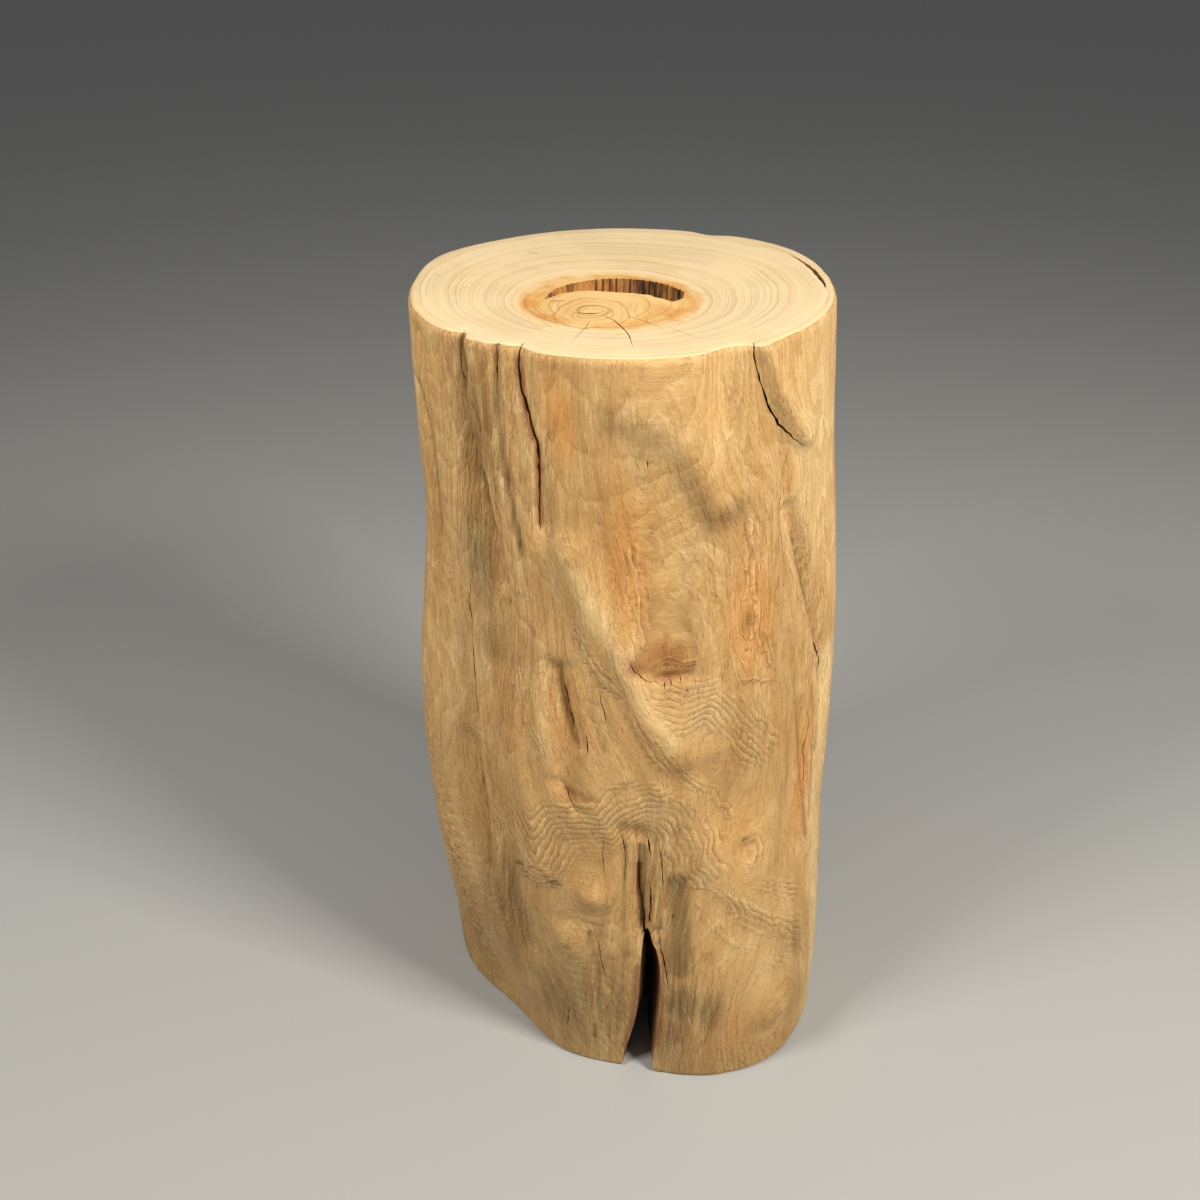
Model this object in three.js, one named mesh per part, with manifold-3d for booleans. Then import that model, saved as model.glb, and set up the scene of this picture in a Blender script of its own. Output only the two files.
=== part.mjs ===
// A block of solid wood, cut from one log and stood on end as a low table or a stool.
// It is one piece as it grew: the sawn faces, the wavy side, the split foot and the pit
// beside the heart are all in the one solid.
// Millimetres, +Z up. The front, with the split foot, faces -Y. The origin is on the floor,
// under the middle of the block.
import * as THREE from 'three';
import { mergeVertices } from 'three/addons/utils/BufferGeometryUtils.js';
import Module from 'manifold-3d';

const wasm = await Module();
wasm.setup();

// The block's height, and where the middle of its floor box lies from the log's plumb line.
const HEIGHT = 760;
const PLUMB_TO_MIDDLE = { x: 9.6, y: -0.3 };

// How closely the side is divided, round the log and up it.
const COLUMNS = 92;
const ROWS = 36;

// A usual radius of the side, which turns angles into lengths along the side.
const USUAL_RADIUS = 186;

// The worn edges of the two sawn faces.
const TOP_EDGE_RADIUS = 6;
const BASE_EDGE_RADIUS = 4;

// Girth templates: at each height, how far the log reaches from its plumb line to the left,
// the right, the front and the back.
const GIRTHS = [
  { height: 0, left: 176, right: 212, front: 180, back: 178 },
  { height: 110, left: 182, right: 214, front: 180, back: 180 },
  { height: 230, left: 193, right: 209, front: 182, back: 184 },
  { height: 340, left: 197, right: 208, front: 184, back: 186 },
  { height: 420, left: 194, right: 205, front: 184, back: 186 },
  { height: 500, left: 185, right: 199, front: 184, back: 186 },
  { height: 560, left: 178, right: 193, front: 184, back: 186 },
  { height: 650, left: 177, right: 182, front: 184, back: 184 },
  { height: 760, left: 176, right: 173, front: 182, back: 180 },
];

// Swells and hollows: each is a soft mound of a given rise at an angle and a height. Angles
// are in degrees round the log, 0 to the right and -90 to the front.
const SWELLS = [
  { part: 'right toe of the foot', angle: -48, height: 10, wide: 28, tall: 190, rise: 37 },
  { part: 'front over the cleft', angle: -92, height: 0, wide: 14, tall: 90, rise: -5 },
  { part: 'waist left of the toes', angle: -137, height: 0, wide: 27, tall: 110, rise: -27 },
  { part: 'left flank of the foot', angle: 175, height: 0, wide: 20, tall: 80, rise: 3 },
  { part: 'back heel', angle: 118, height: 0, wide: 24, tall: 130, rise: 9 },
  { part: 'back waist', angle: 78, height: 300, wide: 26, tall: 190, rise: -8 },
  { part: 'back shoulder', angle: 120, height: 470, wide: 22, tall: 120, rise: 7 },
  { part: 'top corner, back right', angle: 38, height: 760, wide: 24, tall: 150, rise: 12 },
  { part: 'top corner, back left', angle: 152, height: 760, wide: 16, tall: 130, rise: 8 },
  { part: 'top corner, front left', angle: -150, height: 760, wide: 20, tall: 110, rise: 4 },
  { part: 'rim at the long crack', angle: -118, height: 760, wide: 5, tall: 60, rise: -7 },
  { part: 'rim left of the lip', angle: -65, height: 760, wide: 6, tall: 80, rise: -8 },
  { part: 'bowl under the ridge', angle: -78, height: 482, wide: 9, tall: 30, rise: -7 },
  { part: 'dip below the upper knot', angle: -72, height: 590, wide: 14, tall: 70, rise: -5 },
  { part: 'knot mound, right', angle: -52, height: 265, wide: 10, tall: 40, rise: 6 },
  { part: 'hollow above the mound', angle: -60, height: 340, wide: 9, tall: 28, rise: -4 },
  { part: 'knot mound, left', angle: -99, height: 244, wide: 6, tall: 22, rise: 5 },
  { part: 'low knot mound, left', angle: -106, height: 167, wide: 6, tall: 22, rise: 4 },
  { part: 'toe knob', angle: -46, height: 80, wide: 8, tall: 26, rise: 4 },
  { part: 'cheek right of the cleft', angle: -68, height: 120, wide: 8, tall: 90, rise: 4 },
];

// Grooves and ridges that run along the grain: each follows a route of angle and height.
const RUNS = [
  { part: 'long groove, right', rise: -6, width: 11,
    route: [[-44, 613], [-36, 545], [-26, 460], [-21, 400], [-22, 328], [-15, 240]] },
  { part: 'groove, upper left', rise: -5, width: 10,
    route: [[-135, 764], [-133, 690], [-128, 630], [-124, 560]] },
  { part: 'line at the left edge', rise: -4, width: 10,
    route: [[-154, 740], [-151, 660], [-151, 570]] },
  { part: 'slanting ridge', rise: 7, width: 17,
    route: [[-104, 600], [-96, 540], [-89, 495], [-82, 445], [-74, 405]] },
  { part: 'ridge beside the lip', rise: 5, width: 12,
    route: [[-55, 764], [-52, 722], [-45, 692], [-38, 672]] },
  { part: 'shade valley, lower left', rise: -7, width: 17,
    route: [[-136, 380], [-129, 310], [-123, 230], [-119, 150]] },
  { part: 'dark valley, left', rise: -5, width: 15,
    route: [[-131, 640], [-127, 560], [-124, 490]] },
  { part: 'ridge to the toe', rise: 5, width: 18,
    route: [[-74, 357], [-68, 300], [-58, 236], [-42, 170]] },
  { part: 'valley over the cleft', rise: -7, width: 11,
    route: [[-87, 320], [-86, 262], [-84, 200]] },
  { part: 'scar groove, mid left', rise: -5, width: 12,
    route: [[-107, 490], [-104, 430], [-106, 372]] },
  { part: 'back groove, long', rise: -7, width: 15,
    route: [[62, 764], [58, 600], [66, 430], [60, 260]] },
  { part: 'back groove, short', rise: -6, width: 14,
    route: [[138, 420], [132, 270], [140, 120], [136, 0]] },
  { part: 'back ridge', rise: 6, width: 18,
    route: [[95, 640], [100, 420], [88, 200], [92, 0]] },
  { part: 'groove, left flank', rise: -5, width: 13,
    route: [[-172, 600], [-176, 430], [-170, 250]] },
  { part: 'groove, right flank', rise: -5, width: 13,
    route: [[18, 560], [12, 380], [20, 200], [14, 0]] },
];

// Drying cracks in the side: each point is an angle, a height and the crack's half width.
const SIDE_CRACKS = [
  { part: 'long crack, upper left', depth: 26, lean: 0,
    route: [[-116.4, 775, 1.8], [-116.7, 740, 2.2], [-115.4, 725, 2.6], [-113.2, 710, 2],
      [-111.4, 690, 1.7], [-111, 664, 1.4], [-111.3, 640, 1], [-111.1, 614, 0.2]] },
  { part: 'crack under the lip, right', depth: 24, lean: 38,
    route: [[-61.4, 775, 1.6], [-61, 751, 1.8], [-58.6, 731, 2.3], [-55.1, 709, 2.3],
      [-51.4, 693, 2], [-46.7, 680, 1.5], [-41.8, 667, 0.2]] },
];

// The pit beside the heart: the round wall that it broke away from, and the broken edge of
// the heart in front of it, in plan from the plumb line.
const PIT = { x: -6, y: -47, radius: 57, depth: 34, flutes: 44, fluteDepth: 1.8 };
const PIT_WALL_FROM = 178;
const PIT_WALL_TO = 20;
const HEART_EDGE = [[46, -43], [38, -52], [32, -46], [24, -40], [18, -33], [4, -29], [-12, -26],
  [-28, -22], [-40, -24], [-52, -32]];

// The gap where one growth ring has come away under the rim, in plan, with half widths.
const RING_GAP = { depth: 24,
  route: [[147, 92, 0.2], [153, 72, 0.9], [158, 54, 1.6], [162, 36, 2], [164, 14, 1.9],
    [165, -4, 1.2], [164, -16, 0.2]] };

// The cleft in the foot, as the front shows it, and the rotted hollow that it opens into.
// It keeps that outline through the outer half of its depth, which ends at the log's side.
const CLEFT = { depth: 130, front: -240, middle: 24, narrowing: 0.4,
  outline: [[2, -12], [4, 22], [12, 60], [17, 98], [19, 141], [20, 176], [24, 197],
    [30, 184], [36, 162], [38, 131], [38, 101], [36, 56], [34, 16], [36, -12]] };
const HOLLOW = { x: 21, y: -66, halfWidth: 33, halfDepth: 64, sides: 28,
  profile: [[0, -12], [1, -12], [0.98, 40], [0.86, 95], [0.62, 140], [0.3, 168], [0, 176]] };

const radians = THREE.MathUtils.degToRad;

// A curve through the girth templates, level with height, for one of the four reaches.
function reach(side, height) {
  const last = GIRTHS.length - 1;
  const h = THREE.MathUtils.clamp(height, 0, HEIGHT);
  let i = 0;
  while (i < last - 1 && h > GIRTHS[i + 1].height) i += 1;
  const slope = (k) => {
    const below = GIRTHS[Math.max(k - 1, 0)];
    const above = GIRTHS[Math.min(k + 1, last)];
    return (above[side] - below[side]) / (above.height - below.height);
  };
  const low = GIRTHS[i];
  const high = GIRTHS[i + 1];
  const span = high.height - low.height;
  const t = (h - low.height) / span;
  const rise = high[side] - low[side];
  return low[side] + rise * (3 * t * t - 2 * t * t * t)
    + slope(i) * span * (t * t * t - 2 * t * t + t)
    + slope(i + 1) * span * (t * t * t - t * t);
}

// The shortest way round from one angle to another, in degrees.
function turn(angle, from) {
  return THREE.MathUtils.euclideanModulo(angle - from + 180, 360) - 180;
}

// The distance over the side from a point to a route of angles and heights, in millimetres.
function distanceToRoute(angle, height, route) {
  let nearest = Infinity;
  for (let i = 0; i < route.length - 1; i += 1) {
    const ax = radians(turn(route[i][0], angle)) * USUAL_RADIUS;
    const az = route[i][1] - height;
    const bx = ax + radians(turn(route[i + 1][0], route[i][0])) * USUAL_RADIUS;
    const bz = route[i + 1][1] - height;
    const along = -(ax * (bx - ax) + az * (bz - az)) / ((bx - ax) ** 2 + (bz - az) ** 2);
    const t = THREE.MathUtils.clamp(along, 0, 1);
    nearest = Math.min(nearest, Math.hypot(ax + t * (bx - ax), az + t * (bz - az)));
  }
  return nearest;
}

// How far the side stands from the plumb line at an angle and a height.
function sideRadius(angle, height) {
  const c = Math.cos(radians(angle));
  const s = Math.sin(radians(angle));
  const across = reach(c > 0 ? 'right' : 'left', height);
  const along = reach(s > 0 ? 'back' : 'front', height);
  let radius = 1 / Math.hypot(c / across, s / along);
  for (const swell of SWELLS) {
    const sideways = turn(angle, swell.angle) / swell.wide;
    const upward = (height - swell.height) / swell.tall;
    radius += swell.rise * Math.exp(-sideways * sideways - upward * upward);
  }
  for (const run of RUNS) {
    const away = distanceToRoute(angle, height, run.route) / run.width;
    if (away < 3) radius += run.rise * Math.exp(-away * away);
  }
  return radius;
}

// A closed geometry becomes a solid that can be cut, and a solid a geometry again.
function solid(geometry) {
  geometry.deleteAttribute('normal');
  geometry.deleteAttribute('uv');
  const merged = mergeVertices(geometry, 1e-4);
  return new wasm.Manifold(new wasm.Mesh({
    numProp: 3,
    vertProperties: new Float32Array(merged.attributes.position.array),
    triVerts: new Uint32Array(merged.index.array),
  }));
}

function geometryOf(body) {
  const mesh = body.getMesh();
  const geometry = new THREE.BufferGeometry();
  geometry.setAttribute('position', new THREE.BufferAttribute(mesh.vertProperties, 3));
  geometry.setIndex(new THREE.BufferAttribute(mesh.triVerts, 1));
  geometry.computeVertexNormals();
  return geometry;
}

// The log: a round blank of radius 1, turned about its plumb line, whose points then move
// out to the side's own radius. Near the sawn faces the profile steps in round the edge.
function logBlank() {
  const profile = [new THREE.Vector2(0, 0), new THREE.Vector2(0.5, 0)];
  const edge = (radius, centre, from, to, steps) => {
    for (let i = 0; i <= steps; i += 1) {
      const a = radians(THREE.MathUtils.lerp(from, to, i / steps));
      profile.push(new THREE.Vector2(
        1 - (radius - radius * Math.cos(a)) / USUAL_RADIUS, centre + radius * Math.sin(a)));
    }
  };
  edge(BASE_EDGE_RADIUS, BASE_EDGE_RADIUS, -90, 0, 2);
  const low = BASE_EDGE_RADIUS;
  const high = HEIGHT - TOP_EDGE_RADIUS;
  for (let row = 1; row < ROWS; row += 1) {
    profile.push(new THREE.Vector2(1, THREE.MathUtils.lerp(low, high, row / ROWS)));
  }
  edge(TOP_EDGE_RADIUS, high, 0, 90, 2);
  profile.push(new THREE.Vector2(0.5, HEIGHT), new THREE.Vector2(0, HEIGHT));

  const geometry = new THREE.LatheGeometry(profile, COLUMNS);
  geometry.rotateX(Math.PI / 2);
  const points = geometry.attributes.position;
  for (let i = 0; i < points.count; i += 1) {
    const share = Math.hypot(points.getX(i), points.getY(i));
    const height = points.getZ(i);
    const angle = THREE.MathUtils.radToDeg(Math.atan2(points.getY(i), points.getX(i)));
    const radius = share * sideRadius(angle, height);
    points.setXY(i, radius * Math.cos(radians(angle)), radius * Math.sin(radians(angle)));
  }
  return solid(geometry);
}

// An outline that widens and narrows along a route: up one edge and back down the other.
function spindle(route) {
  const left = [];
  const right = [];
  route.forEach(([x, y, half], i) => {
    const before = route[Math.max(i - 1, 0)];
    const after = route[Math.min(i + 1, route.length - 1)];
    const way = new THREE.Vector2(after[0] - before[0], after[1] - before[1]).normalize();
    left.push(new THREE.Vector2(x - way.y * half, y + way.x * half));
    right.unshift(new THREE.Vector2(x + way.y * half, y - way.x * half));
  });
  return new THREE.Shape([...left, ...right]);
}

// A crack in the side: its outline is drawn on the side, unrolled about the crack's middle,
// and runs inwards, straight or leaning to one hand so that it undercuts a lip.
function sideCrack({ depth, lean, route }) {
  const outside = 20;
  const middle = (route[0][0] + route[route.length - 1][0]) / 2;
  const height = (route[0][1] + route[route.length - 1][1]) / 2;
  const surface = sideRadius(middle, height);
  const flat = route.map(([angle, z, half]) => [
    surface * Math.sin(radians(angle - middle)), z, half]);
  const geometry = new THREE.ExtrudeGeometry(spindle(flat), {
    depth: depth + outside, bevelEnabled: false });
  const out = new THREE.Vector3(Math.cos(radians(middle)), Math.sin(radians(middle)), 0);
  const across = new THREE.Vector3(-out.y, out.x, 0);
  const inward = out.clone().applyAxisAngle(new THREE.Vector3(0, 0, 1), radians(-lean));
  const start = out.clone().multiplyScalar(surface).addScaledVector(inward, -depth);
  const place = new THREE.Matrix4().makeBasis(across, new THREE.Vector3(0, 0, 1), inward);
  place.setPosition(start);
  geometry.applyMatrix4(place);
  return solid(geometry);
}

// The pit: the wall's arc with its flutes, closed by the broken edge of the heart.
function heartPit() {
  const outline = [];
  const steps = PIT.flutes * 2;
  for (let i = 0; i <= steps; i += 1) {
    const angle = THREE.MathUtils.lerp(PIT_WALL_FROM, PIT_WALL_TO, i / steps);
    const radius = PIT.radius + (i % 2 ? PIT.fluteDepth : 0);
    outline.push(new THREE.Vector2(
      PIT.x + radius * Math.cos(radians(angle)), PIT.y + radius * Math.sin(radians(angle))));
  }
  HEART_EDGE.forEach(([x, y]) => outline.push(new THREE.Vector2(x, y)));
  const above = 10;
  const geometry = new THREE.ExtrudeGeometry(new THREE.Shape(outline), {
    depth: PIT.depth + above, bevelEnabled: false });
  geometry.translate(0, 0, HEIGHT - PIT.depth);
  return solid(geometry);
}

function ringGap() {
  const above = 10;
  const geometry = new THREE.ExtrudeGeometry(spindle(RING_GAP.route), {
    depth: RING_GAP.depth + above, bevelEnabled: false });
  geometry.translate(0, 0, HEIGHT - RING_GAP.depth);
  return solid(geometry);
}

// The cleft runs straight in from the front, and draws together as it goes.
function footCleft() {
  const outline = CLEFT.outline.map(([x, z]) => new THREE.Vector2(x - CLEFT.middle, z));
  const geometry = new THREE.ExtrudeGeometry(new THREE.Shape(outline), {
    depth: CLEFT.depth, steps: 2, bevelEnabled: false });
  const points = geometry.attributes.position;
  for (let i = 0; i < points.count; i += 1) {
    const inward = points.getZ(i);
    const width = 1 - CLEFT.narrowing * Math.max(2 * inward / CLEFT.depth - 1, 0);
    const z = points.getY(i);
    points.setXYZ(i, CLEFT.middle + points.getX(i) * width, CLEFT.front + inward, z * width);
  }
  return solid(turnedInsideOut(geometry));
}

// Standing the outline's plane up mirrors the shape, so each face takes its corners in the
// other order.
function turnedInsideOut(geometry) {
  const points = geometry.attributes.position;
  const second = new THREE.Vector3();
  const third = new THREE.Vector3();
  for (let i = 0; i < points.count; i += 3) {
    second.fromBufferAttribute(points, i + 1);
    third.fromBufferAttribute(points, i + 2);
    points.setXYZ(i + 1, third.x, third.y, third.z);
    points.setXYZ(i + 2, second.x, second.y, second.z);
  }
  return geometry;
}

function footHollow() {
  const profile = HOLLOW.profile.map(([share, z]) => new THREE.Vector2(share, z));
  const geometry = new THREE.LatheGeometry(profile, HOLLOW.sides);
  geometry.rotateX(Math.PI / 2);
  geometry.scale(HOLLOW.halfWidth, HOLLOW.halfDepth, 1);
  geometry.translate(HOLLOW.x, HOLLOW.y, 0);
  return solid(geometry);
}

function woodBlock() {
  const wood = new THREE.MeshStandardMaterial({
    color: 0xd0aa72, roughness: 0.62, metalness: 0 });
  let body = logBlank();
  for (const cut of [heartPit(), ringGap(), footCleft(), footHollow()]) {
    body = body.subtract(cut);
  }
  for (const crack of SIDE_CRACKS) {
    body = body.subtract(sideCrack(crack));
  }
  const geometry = geometryOf(body);
  geometry.translate(-PLUMB_TO_MIDDLE.x, -PLUMB_TO_MIDDLE.y, 0);
  const mesh = new THREE.Mesh(geometry, wood);
  mesh.name = 'wood_block';
  return mesh;
}

const model = new THREE.Group();
model.add(woodBlock());

export default model;
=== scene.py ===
# %% [markdown]
# # A block of wood, cut from one log
#
# The object is a single length of log that was peeled, sanded and sawn flat at both ends.
# Everything that can be seen, from the growth rings to the split in the foot, belongs to one
# piece of wood, so this script makes one closed mesh. It starts as a shape turned on a lathe,
# its side is pushed in and out by formulas, and the cracks and hollows are cut out of it.
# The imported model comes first: it fixes the size and the place of the block.

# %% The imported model
import math

import bmesh
import bpy
import numpy as np
from mathutils import Matrix, Vector


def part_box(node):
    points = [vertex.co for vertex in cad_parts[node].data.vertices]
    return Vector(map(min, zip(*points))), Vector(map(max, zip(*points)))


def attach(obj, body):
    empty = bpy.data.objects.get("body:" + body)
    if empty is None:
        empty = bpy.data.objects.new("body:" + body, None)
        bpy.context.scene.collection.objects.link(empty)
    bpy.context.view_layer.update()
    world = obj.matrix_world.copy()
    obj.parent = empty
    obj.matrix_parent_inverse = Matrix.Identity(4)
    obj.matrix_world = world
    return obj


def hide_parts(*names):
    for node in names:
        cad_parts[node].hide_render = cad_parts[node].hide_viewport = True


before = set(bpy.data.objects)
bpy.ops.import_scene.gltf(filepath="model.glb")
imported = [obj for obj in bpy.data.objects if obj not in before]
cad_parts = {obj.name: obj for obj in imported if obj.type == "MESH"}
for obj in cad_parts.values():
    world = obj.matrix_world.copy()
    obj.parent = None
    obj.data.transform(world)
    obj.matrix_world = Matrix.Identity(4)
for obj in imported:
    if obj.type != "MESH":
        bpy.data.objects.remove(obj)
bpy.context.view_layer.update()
low_corner, high_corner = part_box("wood_block")
MM = 0.001
HEIGHT = round((high_corner.z - low_corner.z) / MM)
# The plumb line's place is (0, 0) in the tables below; the box's middle lies here from it.
PLUMB_TO_MIDDLE = (9.6, -0.3)
print("block height in mm:", HEIGHT)

# %% [markdown]
# ## The camera
#
# A photograph has one true viewpoint. This one was taken by someone standing a metre from the
# block and holding the camera at chest height, looking about 31 degrees down. The lens is
# written as the distance in pixels that makes the round top look round, on a picture that is
# 1200 pixels wide, and the sensor width turns it into millimetres.

# %% Camera
PICTURE_PIXELS = 1200
FOCAL_PIXELS = 1203
LOOKING_DOWN = 31.3
CAMERA_PLACE = (-0.0296, -0.9867, 1.0526)


def placed(name, data):
    """A new object in the scene, from a mesh, a camera or a lamp."""
    made = bpy.data.objects.new(name, data)
    bpy.context.scene.collection.objects.link(made)
    return made


camera_data = bpy.data.cameras.new("photo_view")
camera_data.sensor_width = 36.0
camera_data.lens = camera_data.sensor_width * FOCAL_PIXELS / PICTURE_PIXELS
camera = placed("photo_view", camera_data)
camera.location = CAMERA_PLACE
camera.rotation_euler = (math.radians(90 - LOOKING_DOWN), 0, 0)
bpy.context.scene.camera = camera
print("lens in mm:", round(camera_data.lens, 2))

# %% [markdown]
# ## The log's form
#
# A log is nearly round, so its side is described as a forester would: how far it reaches from
# a plumb line through the middle of the top, to the left, right, front and back, at a few
# heights. Swells are soft mounds on that side, such as a toe of the foot or a knot. Runs are
# grooves and ridges that follow the grain along a route. All sizes are millimetres, and angles
# are degrees round the log, 0 to the right and -90 to the front.

# %% Girths of the log
GIRTH_HEIGHTS = [0, 110, 230, 340, 420, 500, 560, 650, 760]
GIRTHS = {
    "left": [176, 182, 193, 197, 194, 185, 178, 177, 176],
    "right": [212, 214, 209, 208, 205, 199, 193, 182, 173],
    "front": [180, 180, 182, 184, 184, 184, 184, 184, 182],
    "back": [178, 180, 184, 186, 186, 186, 186, 184, 180],
}
USUAL_RADIUS = 186
FAR = 1e9


def reach(side, height):
    """The log's reach to one side, on a smooth curve through its girths."""
    heights = np.array(GIRTH_HEIGHTS, float)
    values = np.array(GIRTHS[side], float)
    last = len(heights) - 1
    above = np.minimum(np.arange(last + 1) + 1, last)
    below = np.maximum(np.arange(last + 1) - 1, 0)
    slopes = (values[above] - values[below]) / (heights[above] - heights[below])
    h = np.clip(height, 0, HEIGHT)
    i = np.clip(np.searchsorted(heights, h, side="right") - 1, 0, last - 1)
    span = heights[i + 1] - heights[i]
    t = (h - heights[i]) / span
    smooth = values[i] + (values[i + 1] - values[i]) * (3 * t**2 - 2 * t**3)
    return smooth + slopes[i] * span * (t**3 - 2 * t**2 + t) + slopes[i + 1] * span * (t**3 - t**2)


def turn(angle, start):
    """The shortest way round from one angle to another, in degrees."""
    return (angle - start + 180) % 360 - 180


def mound(angle, height, centre, wide, tall, lean=0):
    """A soft hill of height 1 on the side; lean tips it, in degrees per 100 mm of height."""
    up = height - centre[1]
    sideways = turn(angle, centre[0]) - lean * up / 100
    return np.exp(-((sideways / wide) ** 2) - (up / tall) ** 2)


def to_route(angle, height, route, run_on=False):
    """Millimetres over the side to a route: positive above it, negative below.

    With run_on, the two ends of the route go on for ever.
    """
    nearest = np.full(np.shape(angle), FAR)
    signed = np.zeros(np.shape(angle))
    last = len(route) - 2
    for k, ((a0, h0), (a1, h1)) in enumerate(zip(route, route[1:])):
        ax = np.radians(turn(a0, angle)) * USUAL_RADIUS
        bx = ax + math.radians(turn(a1, a0)) * USUAL_RADIUS
        az = h0 - height
        bz = h1 - height
        t = -(ax * (bx - ax) + az * (bz - az)) / ((bx - ax) ** 2 + (bz - az) ** 2)
        t = np.clip(t, -FAR if run_on and k == 0 else 0, FAR if run_on and k == last else 1)
        away = np.hypot(ax + t * (bx - ax), az + t * (bz - az))
        side = np.where(ax * (bz - az) - az * (bx - ax) > 0, 1, -1)
        signed = np.where(away < nearest, away * side, signed)
        nearest = np.minimum(nearest, away)
    return signed


def near_route(angle, height, route, width):
    """1 on a route, and softly less on both sides of it."""
    return np.exp(-((to_route(angle, height, route) / width) ** 2))


print("reach to the left at mid height:", float(reach("left", np.array(380.0)).round(1)))

# %% [markdown]
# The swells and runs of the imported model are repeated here, because this mesh takes its place
# and has to keep its form.

# %% Swells and runs
# Each swell: angle, height, width in degrees, height of the mound, rise.
SWELLS = {
    "right toe of the foot": (-48, 10, 28, 190, 37),
    "front over the cleft": (-92, 0, 14, 90, -5),
    "waist left of the toes": (-137, 0, 27, 110, -27),
    "left flank of the foot": (175, 0, 20, 80, 3),
    "back heel": (118, 0, 24, 130, 9),
    "back waist": (78, 300, 26, 190, -8),
    "back shoulder": (120, 470, 22, 120, 7),
    "top corner, back right": (38, 760, 24, 150, 12),
    "top corner, back left": (152, 760, 16, 130, 8),
    "top corner, front left": (-150, 760, 20, 110, 4),
    "rim at the long crack": (-118, 760, 5, 60, -7),
    "rim left of the lip": (-65, 760, 6, 80, -8),
    "bowl under the ridge": (-78, 482, 9, 30, -7),
    "dip below the upper knot": (-72, 590, 14, 70, -5),
    "knot mound, right": (-52, 265, 10, 40, 6),
    "hollow above the mound": (-60, 340, 9, 28, -4),
    "knot mound, left": (-99, 244, 6, 22, 5),
    "low knot mound, left": (-106, 167, 6, 22, 4),
    "toe knob": (-46, 80, 8, 26, 4),
    "cheek right of the cleft": (-68, 120, 8, 90, 4),
}

# Each run: rise, width, route of angle and height.
RUNS = {
    "long groove, right": (-6, 11, [(-44, 613), (-36, 545), (-26, 460), (-21, 400), (-22, 328),
        (-15, 240)]),
    "groove, upper left": (-5, 10, [(-135, 764), (-133, 690), (-128, 630), (-124, 560)]),
    "line at the left edge": (-4, 10, [(-154, 740), (-151, 660), (-151, 570)]),
    "slanting ridge": (7, 17, [(-104, 600), (-96, 540), (-89, 495), (-82, 445), (-74, 405)]),
    "ridge beside the lip": (5, 12, [(-55, 764), (-52, 722), (-45, 692), (-38, 672)]),
    "shade valley, lower left": (-7, 17, [(-136, 380), (-129, 310), (-123, 230), (-119, 150)]),
    "dark valley, left": (-5, 15, [(-131, 640), (-127, 560), (-124, 490)]),
    "ridge to the toe": (5, 18, [(-74, 357), (-68, 300), (-58, 236), (-42, 170)]),
    "valley over the cleft": (-7, 11, [(-87, 320), (-86, 262), (-84, 200)]),
    "scar groove, mid left": (-5, 12, [(-107, 490), (-104, 430), (-106, 372)]),
    "back groove, long": (-7, 15, [(62, 764), (58, 600), (66, 430), (60, 260)]),
    "back groove, short": (-6, 14, [(138, 420), (132, 270), (140, 120), (136, 0)]),
    "back ridge": (6, 18, [(95, 640), (100, 420), (88, 200), (92, 0)]),
    "groove, left flank": (-5, 13, [(-172, 600), (-176, 430), (-170, 250)]),
    "groove, right flank": (-5, 13, [(18, 560), (12, 380), (20, 200), (14, 0)]),
}


def with_relief(radius, angle, height, swells, runs):
    """The radius, with every swell and every run added to it."""
    for at, up, wide, tall, rise in swells.values():
        radius = radius + rise * mound(angle, height, (at, up), wide, tall)
    for rise, width, route in runs.values():
        radius = radius + rise * near_route(angle, height, route, width)
    return radius


def smooth_side(angle, height):
    """The side's distance from the plumb line, without its fine relief."""
    c = np.cos(np.radians(angle))
    s = np.sin(np.radians(angle))
    across = np.where(c > 0, reach("right", height), reach("left", height))
    along = np.where(s > 0, reach("back", height), reach("front", height))
    return with_relief(1 / np.hypot(c / across, s / along), angle, height, SWELLS, RUNS)


print("front of the foot reaches", float(smooth_side(np.array(-48.0), np.array(10.0)).round(1)))

# %% [markdown]
# ## How the fibres run
#
# Wood looks like wood because every streak, pore and ripple follows the fibres. On this log
# they run up the side, lean where the trunk twisted, and part round each knot as water does
# round a stone. The grain is kept as a map: for each point of the side, how far its fibre has
# been pushed sideways from straight. The same map later steers the relief and the colour.

# %% Grain map
# Each knot that the fibres part round: angle, height, size of the eye, reach up and down.
KNOTS = {
    "dot under the rim": (-85.3, 680, 9, 4.5),
    "right mound": (-53, 282, 20, 2.4),
    "swirl": (-66, 403, 11, 2.4),
    "left mound": (-99, 252, 15, 2.4),
    "low left mound": (-106, 180, 13, 2.4),
    "toe knob": (-47, 70, 18, 1.8),
    "bowl": (-79, 490, 16, 2.6),
    "grey spot": (-56.5, 529, 11, 4.0),
    "back knot": (74, 470, 20, 2.6),
    "low back knot": (118, 210, 17, 2.4),
    "left flank knot": (-171, 330, 14, 2.6),
    "right flank knot": (8, 420, 15, 2.6),
}

# Where the fibres lean: angle, height, width, height of the zone, push in millimetres.
LEANS = {
    "along the slanting ridge": (-92, 500, 22, 110, -26),
    "under the lip": (-52, 700, 14, 70, -20),
    "above the cleft, left": (-100, 320, 16, 70, -14),
    "above the cleft, right": (-66, 260, 18, 90, 20),
    "left shoulder": (-133, 600, 16, 150, -14),
    "back twist": (100, 380, 40, 220, 22),
}
WANDER_WAVES = 14
WANDER_SIZE = 1.5
KNOT_REACH = 220
KNOT_SOFTNESS = 0.55
RIB_REFERENCE = 30


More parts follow.
